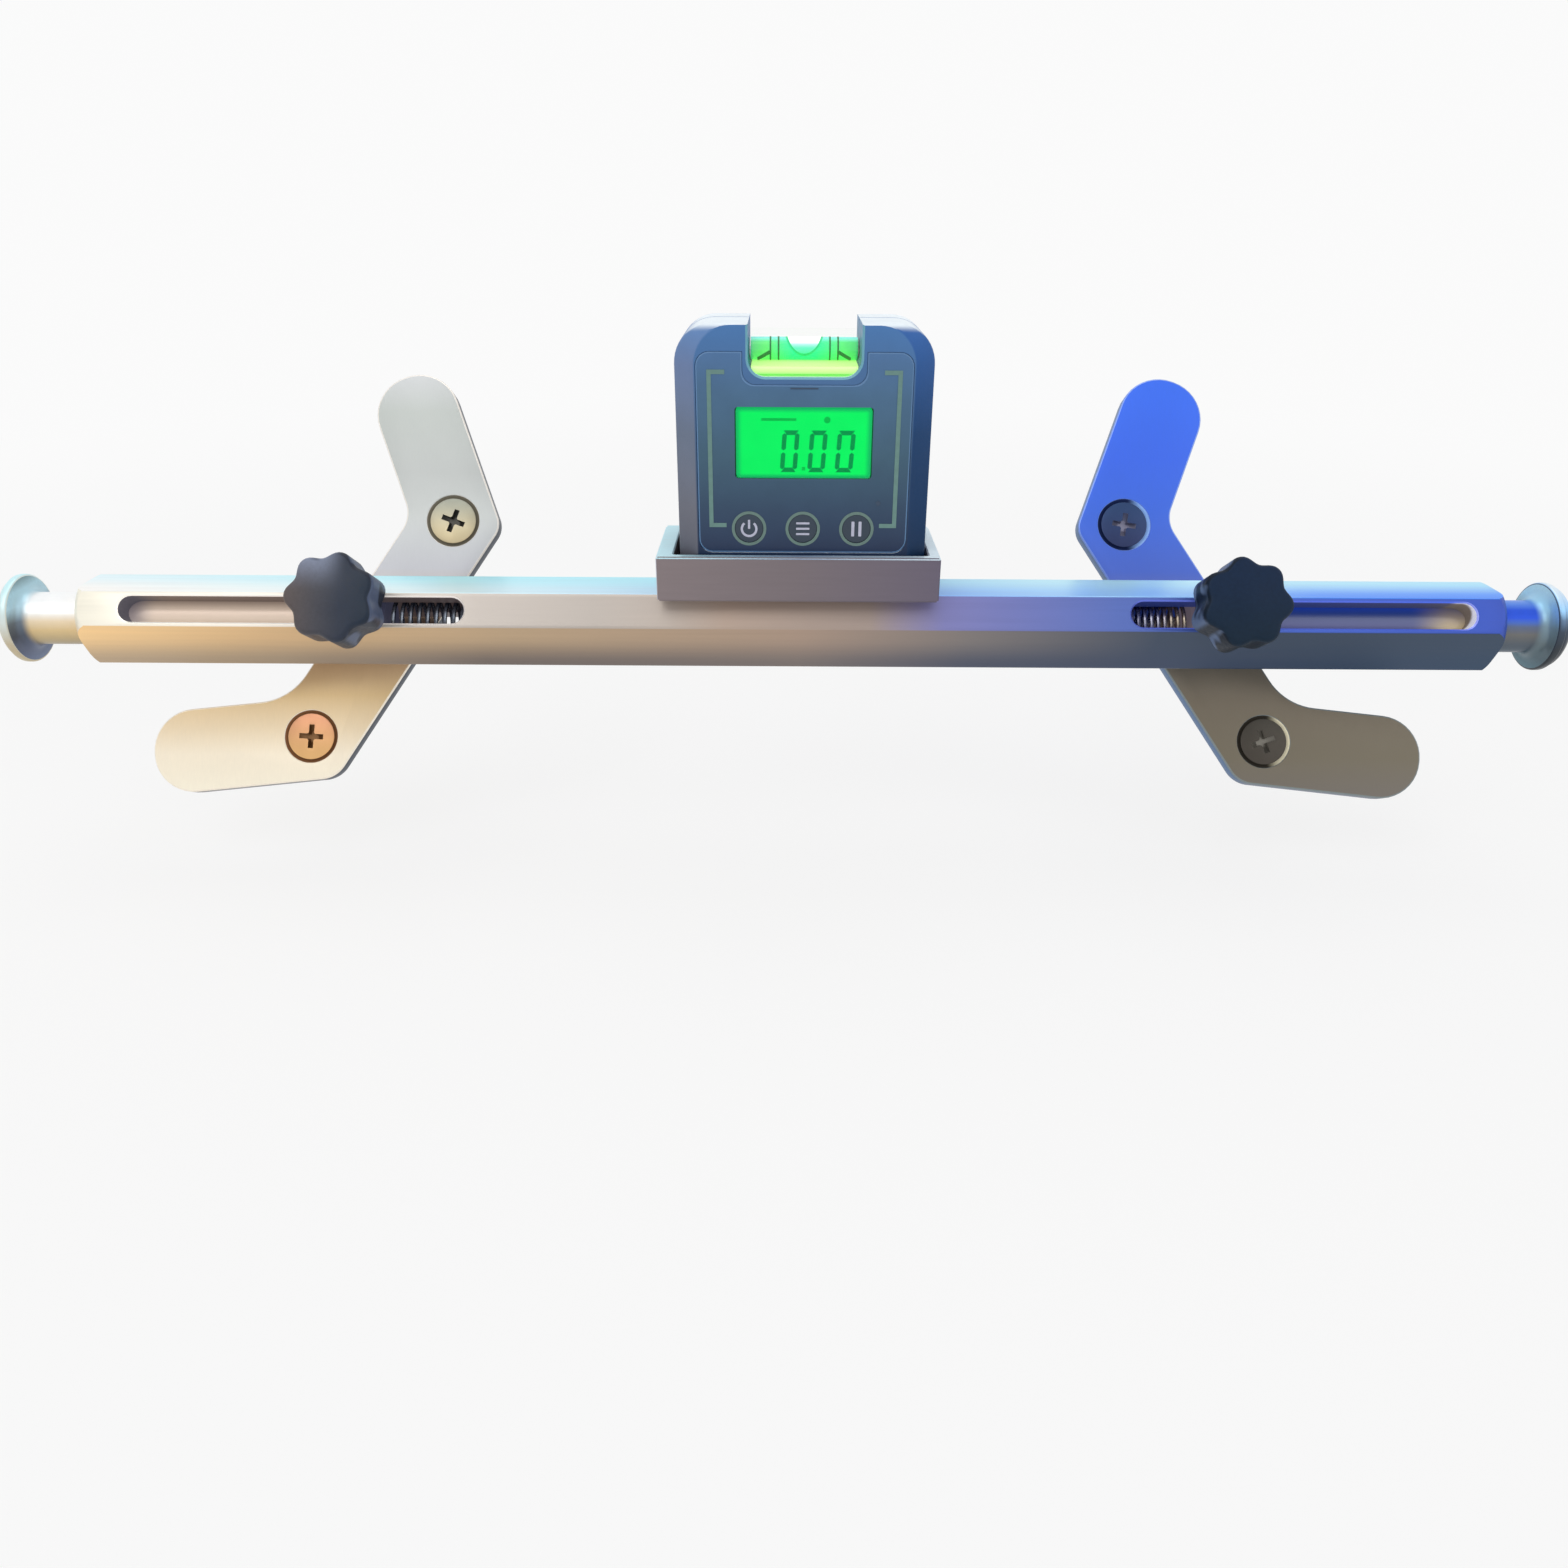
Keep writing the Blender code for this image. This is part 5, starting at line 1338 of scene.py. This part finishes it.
def cross_cutter():
    """A cross recess whose arms narrow toward its floor."""
    rings = []
    for height, share in ((-CROSS_DEPTH, 0.45), (-CROSS_DEPTH / 2, 0.85), (0, 1.0), (OVERRUN, 1.25)):
        arm, half = CROSS_SPAN / 2 * share, CROSS_WIDTH / 2 * (0.7 + 0.3 * share)
        core = half + CROSS_WEB * share
        limb = [Vector((arm, -half)), Vector((arm, half)), Vector((core, half)), Vector((half, core))]
        ring = [Matrix.Rotation(math.pi / 2 * i, 2) @ point for i in range(4) for point in limb]
        rings.append(upright(ring, height))
    return loft(rings)


# Upper and lower tint of each screw, painted light and reflection; its flank's, a painted shadow; and its
# recess's
SCREW_TINTS = {
    "left_upper": ("8c8e82", "ccbc96", "665e4b", "484640"),
    "left_lower": ("cc906e", "e6b678", "735b3c", "805c38"),
    "right_upper": ("26406a", "2a3660", "151b30", "808096"),
    "right_lower": ("403c35", "464039", "23201d", "807c74"),
}


def make_screw(side, level, spot):
    """A countersunk cross-head screw, turned as it stands in the photograph."""
    name = side + "_" + level
    shank, head, edge = SCREW_SHANK_RADIUS, SCREW_HEAD_RADIUS, SCREW_EDGE
    cone = head - shank
    profile = [
        (-SCREW_LENGTH, 0), (-SCREW_LENGTH, shank - GAP), (GAP - SCREW_LENGTH, shank), (-cone - GAP, shank),
        (-GAP, head), (-edge, head), (-edge / 4, head - edge / 4), (0, head - edge), (0, 0),
    ]
    upper, lower, shadow, recess = SCREW_TINTS[name]
    middle = (side_frame(side) @ Vector((spot.x, spot.y, PLATE_FRONT))).z
    surfaces = [
        screw_finish(name + "_plating", upper, lower, middle),
        grained(name + "_recess", recess, 0.4, 0.6),
        # The flank's colour is a painted shadow
        grained(name + "_painted_shadow_flank", shadow, 0.5, 0.5),
    ]
    screw = piece(name + "_cross_screw", lathe(profile, marks=(2, 2, 2, 2, 2, 0, 0, 0)), surfaces)
    carve(screw, [(cross_cutter(), 1)])
    turn = Matrix.Rotation(math.radians(SCREW_TURNS[name]), 4, "Z")
    screw.data.transform(side_frame(side) @ Matrix.Translation((spot.x, spot.y, PLATE_FRONT)) @ turn)
    return stand_for(screw, side + "_arm", [name + "_screw"])


def make_arm(side):
    make_plate(side)
    for level, spot in screw_places(SIGNS[side]).items():
        make_screw(side, level, spot)


# Level box


def level_outline(side_inset, top_inset, corner):
    half, top = LEVEL_HALF - side_inset, LEVEL_TOP - top_inset
    foot = FOOT_CORNER
    return rounded([(-half, 0, foot), (half, 0, foot), (half, top, corner), (-half, top, corner)], 12)


def notch_outline(half, base, top, corner):
    return rounded([(-half, base, corner), (half, base, corner), (half, top, 0), (-half, top, 0)], 8)


def panel_outline(inset):
    half, dip = PANEL_HALF - inset, PANEL_DIP_HALF + inset
    base, top, dip_base = PANEL_BASE + inset, PANEL_TOP - inset, PANEL_DIP - inset
    corner = PANEL_CORNER - inset
    return rounded([
        (-half, base, corner), (half, base, corner), (half, top, corner), (dip, top, 0),
        (dip, dip_base, PANEL_CORNER), (-dip, dip_base, PANEL_CORNER), (-dip, top, 0), (-half, top, corner),
    ])


def window_outline(growth):
    return box_outline(WINDOW_HALF + growth, WINDOW_BASE - growth, WINDOW_TOP + growth, WINDOW_CORNER)


def door_outline(growth, corner):
    return box_outline(DOOR_HALF + growth, DOOR_BASE - growth, DOOR_TOP + growth, corner)


def cavity_outline():
    half = LEVEL_HALF - CASE_WALL
    foot = half - CAVITY_STEP
    low, step, top = CAVITY_HEIGHTS
    return [Vector(corner) for corner in (
        (-foot, low), (foot, low), (foot, step), (half, step),
        (half, top), (-half, top), (-half, step), (-foot, step),
    )]


def vial_seat():
    """The notch through the box, flared at both its mouths."""
    rings = []
    for depth, growth in flared(FRONT, BACK, NOTCH_LIP):
        base, top = VIAL_BASE - GAP - growth, LEVEL_TOP + 2 * OVERRUN
        outline = notch_outline(NOTCH_HALF + growth, base, top, NOTCH_CORNER + growth)
        rings.append(standing(outline, depth))
    return loft(rings, (1, 0, 1))


def drill(profile, x, z, sides=24):
    """Something turned about a line from the front to the back."""
    return moved(lathe(profile, "Y", sides), x, 0, z)


def case_screw_holes(profile, sides=24):
    spots = [(sign * x, z) for x, z in CASE_SCREW_PLACES for sign in SIGNS.values()]
    return [(drill(profile, x, z, sides), 0) for x, z in spots]


def key_holes(back):
    profile = [(FRONT - OVERRUN, KEY_RADIUS + GAP), (back, KEY_RADIUS + GAP)]
    return [(drill(profile, x, KEY_HEIGHT, 48), 0) for x in KEY_PLACES.values()]


def edge_ring(inset, depth):
    return standing(level_outline(inset, inset, LEVEL_CORNER - inset), depth)


def make_front_shell(surfaces):
    """Front half of the housing: broad side bevels that die out round the top corners."""
    rings = []
    for row in FRONT_ROWS:
        depth, side, top, corner = (size * MM for size in row)
        rings.append(standing(level_outline(side, top, corner), FRONT + depth))
    rings += [edge_ring(0, SPLIT - SPLIT_EDGE), edge_ring(SPLIT_EDGE, SPLIT)]
    shell = piece("case_front", loft(rings), surfaces, LEVEL_FRAME)
    inside = FRONT + WINDOW_THICKNESS
    cutters = [
        (slab(cavity_outline(), inside, SPLIT + OVERRUN), 0),
        (vial_seat(), None),
        (slab(panel_outline(-GAP), FRONT - OVERRUN, FRONT + PANEL_THICKNESS + GAP), 0),
        (slab(window_outline(GAP), FRONT - OVERRUN, inside + OVERRUN), 0),
    ]
    cutters += key_holes(inside + OVERRUN)
    cutters += case_screw_holes([(SPLIT - PILOT_DEPTH, PILOT_RADIUS), (SPLIT + OVERRUN, PILOT_RADIUS)])
    for sign in SIGNS.values():
        seat = pin(-OVERRUN, MAGNET_SEAT_DEPTH, MAGNET_SEAT_RADIUS, 48)
        cutters.append((moved(seat, sign * MAGNET_SPREAD, FRONT + MAGNET_BACK, 0), 0))
    carve(shell, cutters, LEVEL_FRAME)
    return stand_for(shell, "level", ["level_front_shell"])


def make_back_shell(surfaces):
    low = SPLIT + GAP
    rings = [edge_ring(SPLIT_EDGE, low), edge_ring(0, low + SPLIT_EDGE)]
    rings += [edge_ring(inset, BACK - drop) for drop, inset in quarter(4, BACK_ROUND)]
    shell = piece("case_back", loft(rings), surfaces, LEVEL_FRAME)
    inside = BACK - BACK_WALL
    cutters = [
        (slab(cavity_outline(), low - OVERRUN, inside), 0),
        (vial_seat(), None),
        (slab(door_outline(GAP, DOOR_HOLE_CORNER), inside - OVERRUN, BACK + OVERRUN), 0),
    ]
    head, narrow, wide = BACK - CASE_HEAD_DEPTH - GAP, PILOT_RADIUS, CASE_HEAD_RADIUS
    way = [(low - OVERRUN, narrow), (head, narrow), (head, wide), (BACK + OVERRUN, wide)]
    cutters += case_screw_holes(way, 32)
    carve(shell, cutters, LEVEL_FRAME)
    return stand_for(shell, "level", ["level_back_shell"])


def make_panel():
    """The sunk printed panel, its rounded edge a painted highlight."""
    back = FRONT + PANEL_THICKNESS
    rings = [standing(panel_outline(inset), FRONT + depth) for depth, inset in PANEL_ROWS]
    rings.append(standing(panel_outline(PANEL_ROWS[-1][1]), back))
    surfaces = [panel_finish(), grained("panel_rim", "5c82ac", 0.35)]
    panel = piece("face_panel", flat_faced(loft(rings, (1, 1, 0))), surfaces, LEVEL_FRAME)
    window = slab(window_outline(GAP), FRONT - OVERRUN, back + OVERRUN)
    carve(panel, [(window, 0)] + key_holes(back + OVERRUN), LEVEL_FRAME)
    return stand_for(panel, "level", ["overlay_panel"])


def printed(outline, level=FRONT):
    """A thin raised print on the level's face."""
    return slab(outline, level - PRINT, level + PRINT_ROOT)


def strip(points, width):
    """The outline of a line of that width through points, mitred at its bends."""
    points = [Vector(point) for point in points]
    left, right = [], []
    for i, here in enumerate(points):
        before = (here - points[i - 1]).normalized() if i else (points[1] - here).normalized()
        after = (points[i + 1] - here).normalized() if i + 1 < len(points) else before
        across_line = (before + after).normalized().orthogonal()
        reach = width / 2 / max(0.3, across_line.dot(before.orthogonal()))
        left.append(here + across_line * reach)
        right.append(here - across_line * reach)
    return left + right[::-1]


def make_prints():
    """Brackets at both sides of the display, key rings and a few faint marks."""
    brackets = []
    for sign in SIGNS.values():
        side, tick = sign * BRACKET_SIDE, sign * BRACKET_TICK
        line = [(tick, BRACKET_TOP), (side, BRACKET_TOP), (side, BRACKET_BASE), (tick, BRACKET_BASE)]
        brackets.append(printed(strip(line, BRACKET_WIDTH)))
    front, back, wide = FRONT - PRINT, FRONT + PRINT_ROOT, KEY_RADIUS + RING_WIDTH
    ring = [(front, KEY_RADIUS - RING_OVERLAP), (front, wide), (back, wide), (back, KEY_RADIUS + GAP)]
    rings = [moved(lathe(ring, "Y", 64, closed=True), x, 0, KEY_HEIGHT) for x in KEY_PLACES.values()]
    dot = drill([(front, DOT_RADIUS), (back, DOT_RADIUS)], *DOT_PLACE)
    for name, meshes, ink in (
        ("bracket_print", brackets, print_finish("bracket_ink", "628680")),
        ("key_ring_print", rings, print_finish("ring_ink", "627c76")),
        ("faint_print", [dot, printed(box_outline(*FAINT_LINE))], print_finish("faint_ink", "30445c")),
    ):
        stand_for(piece(name, join(*meshes), [ink], LEVEL_FRAME), "level")


def digit_segments(left, right, low, high):
    """The six lit bars of a zero: two pairs of uprights, a foot and a top, leaning to the right."""
    half, nick = SEGMENT_HALF, SEGMENT_NICK
    point = half * SEGMENT_POINT_SHARE
    middle = (low + high) / 2
    bars = []
    for x in (left + half, right - half):
        foot, top = low + 2 * half, high - 2 * half
        bars.append([
            (x - half, foot), (x, foot - point), (x + half, foot), (x + half, middle - nick - point),
            (x, middle - nick), (x - half, middle - nick - point),
        ])
        bars.append([
            (x - half, middle + nick + point), (x, middle + nick), (x + half, middle + nick + point),
            (x + half, top), (x, top + point), (x - half, top),
        ])
    for edge, turn in ((low, 1), (high, -1)):
        inner = edge + 2 * half * turn
        bars.append([
            (left + half / 2, edge), (right - half / 2, edge),
            (right - 2 * half, inner), (left + 2 * half, inner),
        ])
    return [[Vector((x + (z - low) * DIGIT_SLANT, z)) for x, z in corners] for corners in bars]


def make_display():
    """The lit display behind its window, with its reading."""
    back = FRONT + WINDOW_THICKNESS
    face = back - DISPLAY_DEPTH
    sheet = slab(window_outline(DISPLAY_OVERLAP), face, back)
    lit = piece("display_lit_face", sheet, [display_finish()], LEVEL_FRAME)
    stand_for(lit, "level")
    zeros = [outline for ends in DIGIT_ENDS for outline in digit_segments(*ends, *DIGIT_HEIGHTS)]
    digits = [printed(outline, face) for outline in zeros]
    x, z, radius = BADGE
    badge = arc((x, z), radius, 0, 2 * math.pi, 16)[:-1]
    dash = moved(printed(box_outline(*DASH), face), DASH_PLACE, 0, 0)
    marks = [dash, printed(badge, face), printed(box_outline(*DECIMAL_POINT), face)]
    for name, meshes, ink in (
        ("display_digits", digits, display_ink("segment_ink", "00a04c")),
        ("display_marks", marks, display_ink("mark_ink", "00cd4c")),
    ):
        stand_for(piece(name, join(*meshes), [ink], LEVEL_FRAME), "level")
    rings = [standing(window_outline(growth), FRONT + depth) for depth, growth in COVER_ROWS]
    rings.append(standing(window_outline(0), face - COVER_ROOM))
    clear = clear_finish("cover_clear", "78f0aa", 0.01, 0.2, 0.02)
    window = piece("display_cover", loft(rings), [clear], LEVEL_FRAME)
    stand_for(window, "level", ["display_window"])


def display_ink(name, colour):
    paint = Paint(name, 0.5, Specular_IOR_Level=0.05, Base_Color=(0.0, 0.01, 0.01, 1.0))
    paint.glow(paint.mottle(colour, paint.noise(500.0), 0.92, 1.06), 0.8)
    return paint.material


def power_sign():
    """An open ring and a bar."""
    ring = turns(math.radians(130), math.radians(410), 24)
    points = [(POWER_RADIUS * math.cos(a), POWER_RADIUS * math.sin(a) - POWER_DROP) for a in ring]
    return [strip(points, POWER_WIDTH), box_outline(*POWER_BAR)]


def menu_sign():
    """Three lines."""
    half, thick = MENU_LINE
    return [box_outline(half, z - thick, z + thick, SIGN_CORNER) for z in (-MENU_STEP, 0, MENU_STEP)]


def hold_sign():
    """Two upright bars."""
    bar = box_outline(*HOLD_BAR)
    return [[Vector((x + point.x, point.y)) for point in bar] for x in (-HOLD_SPREAD, HOLD_SPREAD)]


def make_keys():
    cap = grained("key_cap", "283848", 0.4)
    ink = print_finish("sign_ink", "b8bace")
    signs = {"power": power_sign(), "menu": menu_sign(), "hold": hold_sign()}
    front = FRONT + WINDOW_THICKNESS + GAP
    back = front + KEY_FLANGE
    profile = [(FRONT + KEY_DISH, 0), (FRONT + KEY_DISH_EDGE, KEY_DISH_RADIUS)]
    profile += [(FRONT + rise, KEY_RADIUS - drop) for drop, rise in quarter(3, KEY_ROUND)]
    profile += [
        (front, KEY_RADIUS), (front, KEY_FLANGE_RADIUS), (back, KEY_FLANGE_RADIUS),
        (back, KEY_STEM_RADIUS), (KEY_STEM_END, KEY_STEM_RADIUS), (KEY_STEM_END, 0),
    ]
    for key, x in KEY_PLACES.items():
        place = LEVEL_FRAME @ Matrix.Translation((x, 0, KEY_HEIGHT))
        body = key + "_key"
        button = piece(key + "_button", lathe(profile, "Y", 64), [cap], place)
        stand_for(button, body, ["key_" + key])
        meshes = [slab(outline, FRONT - SIGN_HEIGHT, FRONT + SIGN_ROOT) for outline in signs[key]]
        stand_for(piece(key + "_sign", join(*meshes), [ink], place), body)


def tube(reach, growth=0):
    """The vial's round bore, about the origin."""
    radius = TUBE_RADIUS + growth
    return lathe([(-reach, 0), (-reach, radius), (reach, radius), (reach, 0)], "X", 64)


def tube_patch(name, mesh, growth, surface):
    """What a shape shares with the vial's tube, a little proud of it."""
    obj = piece(name, tube(PATCH_REACH, growth), [surface], VIAL_FRAME)
    carve(obj, [(mesh, 0)], VIAL_FRAME, "INTERSECT")
    return stand_for(obj, "level")


def egg(halves, centre):
    mesh = bmesh.new()
    bmesh.ops.create_uvsphere(mesh, u_segments=48, v_segments=24, radius=1)
    mesh.transform(Matrix.Translation(centre) @ Matrix.Diagonal((*halves, 1)))
    return mesh


def vial_ring(x):
    """A fine line round the tube."""
    inside, outside = TUBE_RADIUS - VIAL_LINE_DEPTH, TUBE_RADIUS + VIAL_LINE_RISE
    left, right = x - VIAL_LINE_HALF, x + VIAL_LINE_HALF
    profile = [(left, inside), (left, outside), (right, outside), (right, inside)]
    return lathe(profile, "X", 64, closed=True)


def make_vial():
    """Block, lit pad, tube of spirit, its lines and the bubble."""
    half = NOTCH_HALF - GAP
    front, back = FRONT + VIAL_SINK, BACK - VIAL_SINK
    rings = []
    edge = VIAL_EDGE
    for depth, inset in ((front, edge), (front + edge, 0), (back - edge, 0), (back, edge)):
        outline = notch_outline(half - inset, VIAL_BASE + inset, VIAL_TOP - inset, NOTCH_CORNER - GAP)
        rings.append(standing(outline, depth))
    clear = clear_finish("vial_clear", "e2ffe2", 0.03, 0.08, 0.3)
    block = piece("vial_body", loft(rings), [clear], LEVEL_FRAME)
    stand_for(block, "level", ["vial_block"])
    base, top = VIAL_BASE + PAD_LIFT, VIAL_AXIS - TUBE_RADIUS + PAD_OVERLAP
    outline = notch_outline(half - PAD_INSET, base, top, PAD_CORNER)
    pad = slab(outline, FRONT + PAD_SINK, BACK - PAD_SINK)
    pad = piece("vial_pad", pad, [pad_finish()], LEVEL_FRAME)
    stand_for(pad, "level")
    spirit = piece("vial_spirit_column", tube(SPIRIT_REACH), [liquid_finish()], VIAL_FRAME)
    stand_for(spirit, "level", ["vial_liquid"])
    dark = print_finish("vial_line", "14803e")
    lines = piece("vial_lines", join(*(vial_ring(x) for x in VIAL_LINES)), [dark], VIAL_FRAME)
    stand_for(lines, "level")
    for side, sign in SIGNS.items():
        slope = strip([(sign * x, z) for x, z in SLOPE_LINE], SLOPE_WIDTH)
        tube_patch(side + "_vial_slope", slab(slope, -2 * TUBE_RADIUS, 0), SLOPE_RISE, dark)
    spot = (0, 0, TUBE_RADIUS)
    rim = print_finish("bubble_edge", "10cd82", 0.25)
    tube_patch("bubble_rim", egg(BUBBLE_RIM, spot), BUBBLE_RIM_RISE, rim)
    tube_patch("bubble_body", egg(BUBBLE, spot), BUBBLE_RISE, bubble_finish())
    return block


def bubble_finish():
    """Air: white at the top, pale cyan below."""
    paint = Paint("bubble_air", 0.2)
    low, high = (LEVEL_PLACE[2] + VIAL_AXIS + reach for reach in BUBBLE_SPAN)
    stops = {0.0: "46deb0", 0.4: "60e8c4", 0.6: "aaf4e4", 0.72: "faffff", 1.0: "ffffff"}
    shade = paint.ramp(paint.axis("Z"), low, high, stops)
    paint.glow(shade, 0.35)
    return paint.colour(shade)


def pad_finish():
    """The lit pad under the vial."""
    paint = Paint("pad_glow", 0.5)
    low, high = (LEVEL_PLACE[2] + height for height in PAD_SPAN)
    stops = {0.0: "8cea6e", 0.4: "bef888", 0.8: "d4fca6", 1.0: "bef67e"}
    shade = paint.ramp(paint.axis("Z"), low, high, stops)
    paint.glow(shade, 0.45)
    return paint.colour(shade)


def make_door(surface):
    """Battery door with a finger recess, flush with the back."""
    rings = []
    for depth, inset in ((DOOR_THICKNESS, 0), (DOOR_EDGE, 0), (0, DOOR_EDGE)):
        rings.append(standing(door_outline(-inset, DOOR_CORNER), BACK - depth))
    door = piece("battery_lid", loft(rings), [surface], LEVEL_FRAME)
    carve(door, [(egg(THUMB_SIZE, (0, BACK, THUMB_HEIGHT)), 0)], LEVEL_FRAME)
    return stand_for(door, "level", ["battery_door"])


def make_level():
    surfaces = [shell_finish(), grained("notch_lip", "6ea8be", 0.3)]
    make_front_shell(surfaces)
    make_back_shell(surfaces)
    make_panel()
    make_prints()
    make_display()
    make_keys()
    make_vial()
    make_door(grained("door_plastic", "344c6c", 0.45))


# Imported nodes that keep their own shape


def dress_nodes():
    """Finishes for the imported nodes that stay: fasteners, pegs, sleeves and what is inside the box."""
    steel = grained("bright_steel", "bab8b0", 0.3, 0.9)
    kinds = {
        "knob_stud": steel,
        "clamp_nut": grained("nut_steel", "aaaaa6", 0.36, 0.9),
        "tray_screw": steel,
        "case_screw": grained("case_screw_steel", "5c5e64", 0.4, 0.8),
        "peg": grained("peg_steel", "a0a09e", 0.35, 0.9),
        "sleeve": grained("sleeve_rubber", "1e1f22", 0.8, 0.0, 500.0, 0.15),
        "plug": grained("plug_plastic", "46c46e", 0.5),
        "glass": grained("display_stack", "146e3c", 0.3),
        "backlight": grained("light_guide", "bee6c8", 0.3),
        "board": grained("board_mask", "1a5c38", 0.5),
        "cell": grained("cell_wrap", "42464e", 0.4, 0.3),
        "contact": grained("contact_nickel", "bebcb4", 0.32, 0.9),
        "magnet": grained("magnet_nickel", "b0b2b4", 0.26, 0.95),
    }
    for name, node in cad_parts.items():
        if node.hide_render:
            continue
        surface = next((kinds[word] for word in kinds if word in name), steel)
        node.data.materials.clear()
        node.data.materials.append(surface)


# Stage


def make_camera():
    pitch, yaw, roll = CAMERA_PITCH, CAMERA_YAW, CAMERA_ROLL
    level = Vector((math.cos(yaw), math.sin(yaw), 0))
    flat = math.cos(pitch)
    ahead = Vector((-math.sin(yaw) * flat, math.cos(yaw) * flat, -math.sin(pitch)))
    above = level.cross(ahead)
    right = level * math.cos(roll) + above * math.sin(roll)
    up = above * math.cos(roll) - level * math.sin(roll)
    data = bpy.data.cameras.new("camera")
    data.sensor_width = SENSOR
    data.lens = SENSOR * FOCAL_PIXELS / IMAGE_SIZE
    data.clip_start = CLIP_START
    camera = bpy.data.objects.new("camera", data)
    bpy.context.scene.collection.objects.link(camera)
    turned = Matrix((right, up, -ahead)).transposed().to_4x4()
    camera.matrix_world = Matrix.Translation(CAMERA_PLACE) @ turned
    bpy.context.scene.camera = camera


def seen_share(tree):
    """1 for rays from the camera, and for those that glossy and clear surfaces pass on."""
    rays = add_node(tree, "LightPath").outputs
    total = rays["Is Camera Ray"]
    for name in ("Is Glossy Ray", "Is Transmission Ray"):
        most = add_node(tree, "Math")
        most.operation = "MAXIMUM"
        feed(tree, most.inputs[0], total)
        feed(tree, most.inputs[1], rays[name])
        total = most.outputs[0]
    return total


def make_world():
    world = bpy.data.worlds.new("studio")
    bpy.context.scene.world = world
    world.use_nodes = True
    tree = world.node_tree
    strength = add_node(tree, "MapRange", Value=seen_share(tree), To_Min=WORLD_LIGHT, To_Max=WORLD_SEEN)
    back = tree.nodes["Background"]
    feed(tree, back.inputs["Color"], "ffffff")
    feed(tree, back.inputs["Strength"], strength.outputs["Result"])


def make_floor():
    """A pale floor, below the arms' lowest swing, that keeps the shadow and shows no far edge."""
    low = min(CAD_BOX[0][2], CAD_BOX[1][2])
    mesh = bmesh.new()
    bmesh.ops.create_grid(mesh, x_segments=1, y_segments=1, size=FLOOR_SIZE)
    paint = Paint("floor_pale", 0.9, Base_Color="f6f6f6", Specular_IOR_Level=0.0)
    glow = paint.node("Emission", Strength=FLOOR_GLOW)
    length = paint.node("VectorMath")
    length.operation = "LENGTH"
    feed(paint.tree, length.inputs[0], paint.coordinates.outputs["Object"])
    spread = paint.span(length.outputs["Value"], *FLOOR_FADE)
    spread.node.inputs["To Min"].default_value = FLOOR_NEAR_SHARE
    blend = paint.node("MixShader")
    for i, output in enumerate((spread, paint.shader.outputs[0], glow.outputs[0])):
        feed(paint.tree, blend.inputs[i], output)
    feed(paint.tree, paint.tree.nodes["Material Output"].inputs["Surface"], blend.outputs[0])
    floor = piece("floor", mesh, [paint.material], Matrix.Translation((0, 0, low - FLOOR_DROP)))


def make_lamp(name, place, size, power):
    data = bpy.data.lights.new(name, "AREA")
    data.size = size
    data.energy = power
    lamp = bpy.data.objects.new(name, data)
    bpy.context.scene.collection.objects.link(lamp)
    lamp.location = place
    lamp.rotation_euler = (-Vector(place)).to_track_quat("-Z", "Y").to_euler()


def make_stage():
    make_camera()
    make_world()
    make_floor()
    for name, sizes in LAMPS.items():
        make_lamp(name, *sizes)
    bpy.context.scene.view_settings.view_transform = "Standard"


def main():
    make_stage()
    make_bar()
    make_tray()
    for side in SIGNS:
        make_plunger(side)
        make_spring(side)
        make_knob(side)
        make_arm(side)
    make_level()
    dress_nodes()


main()
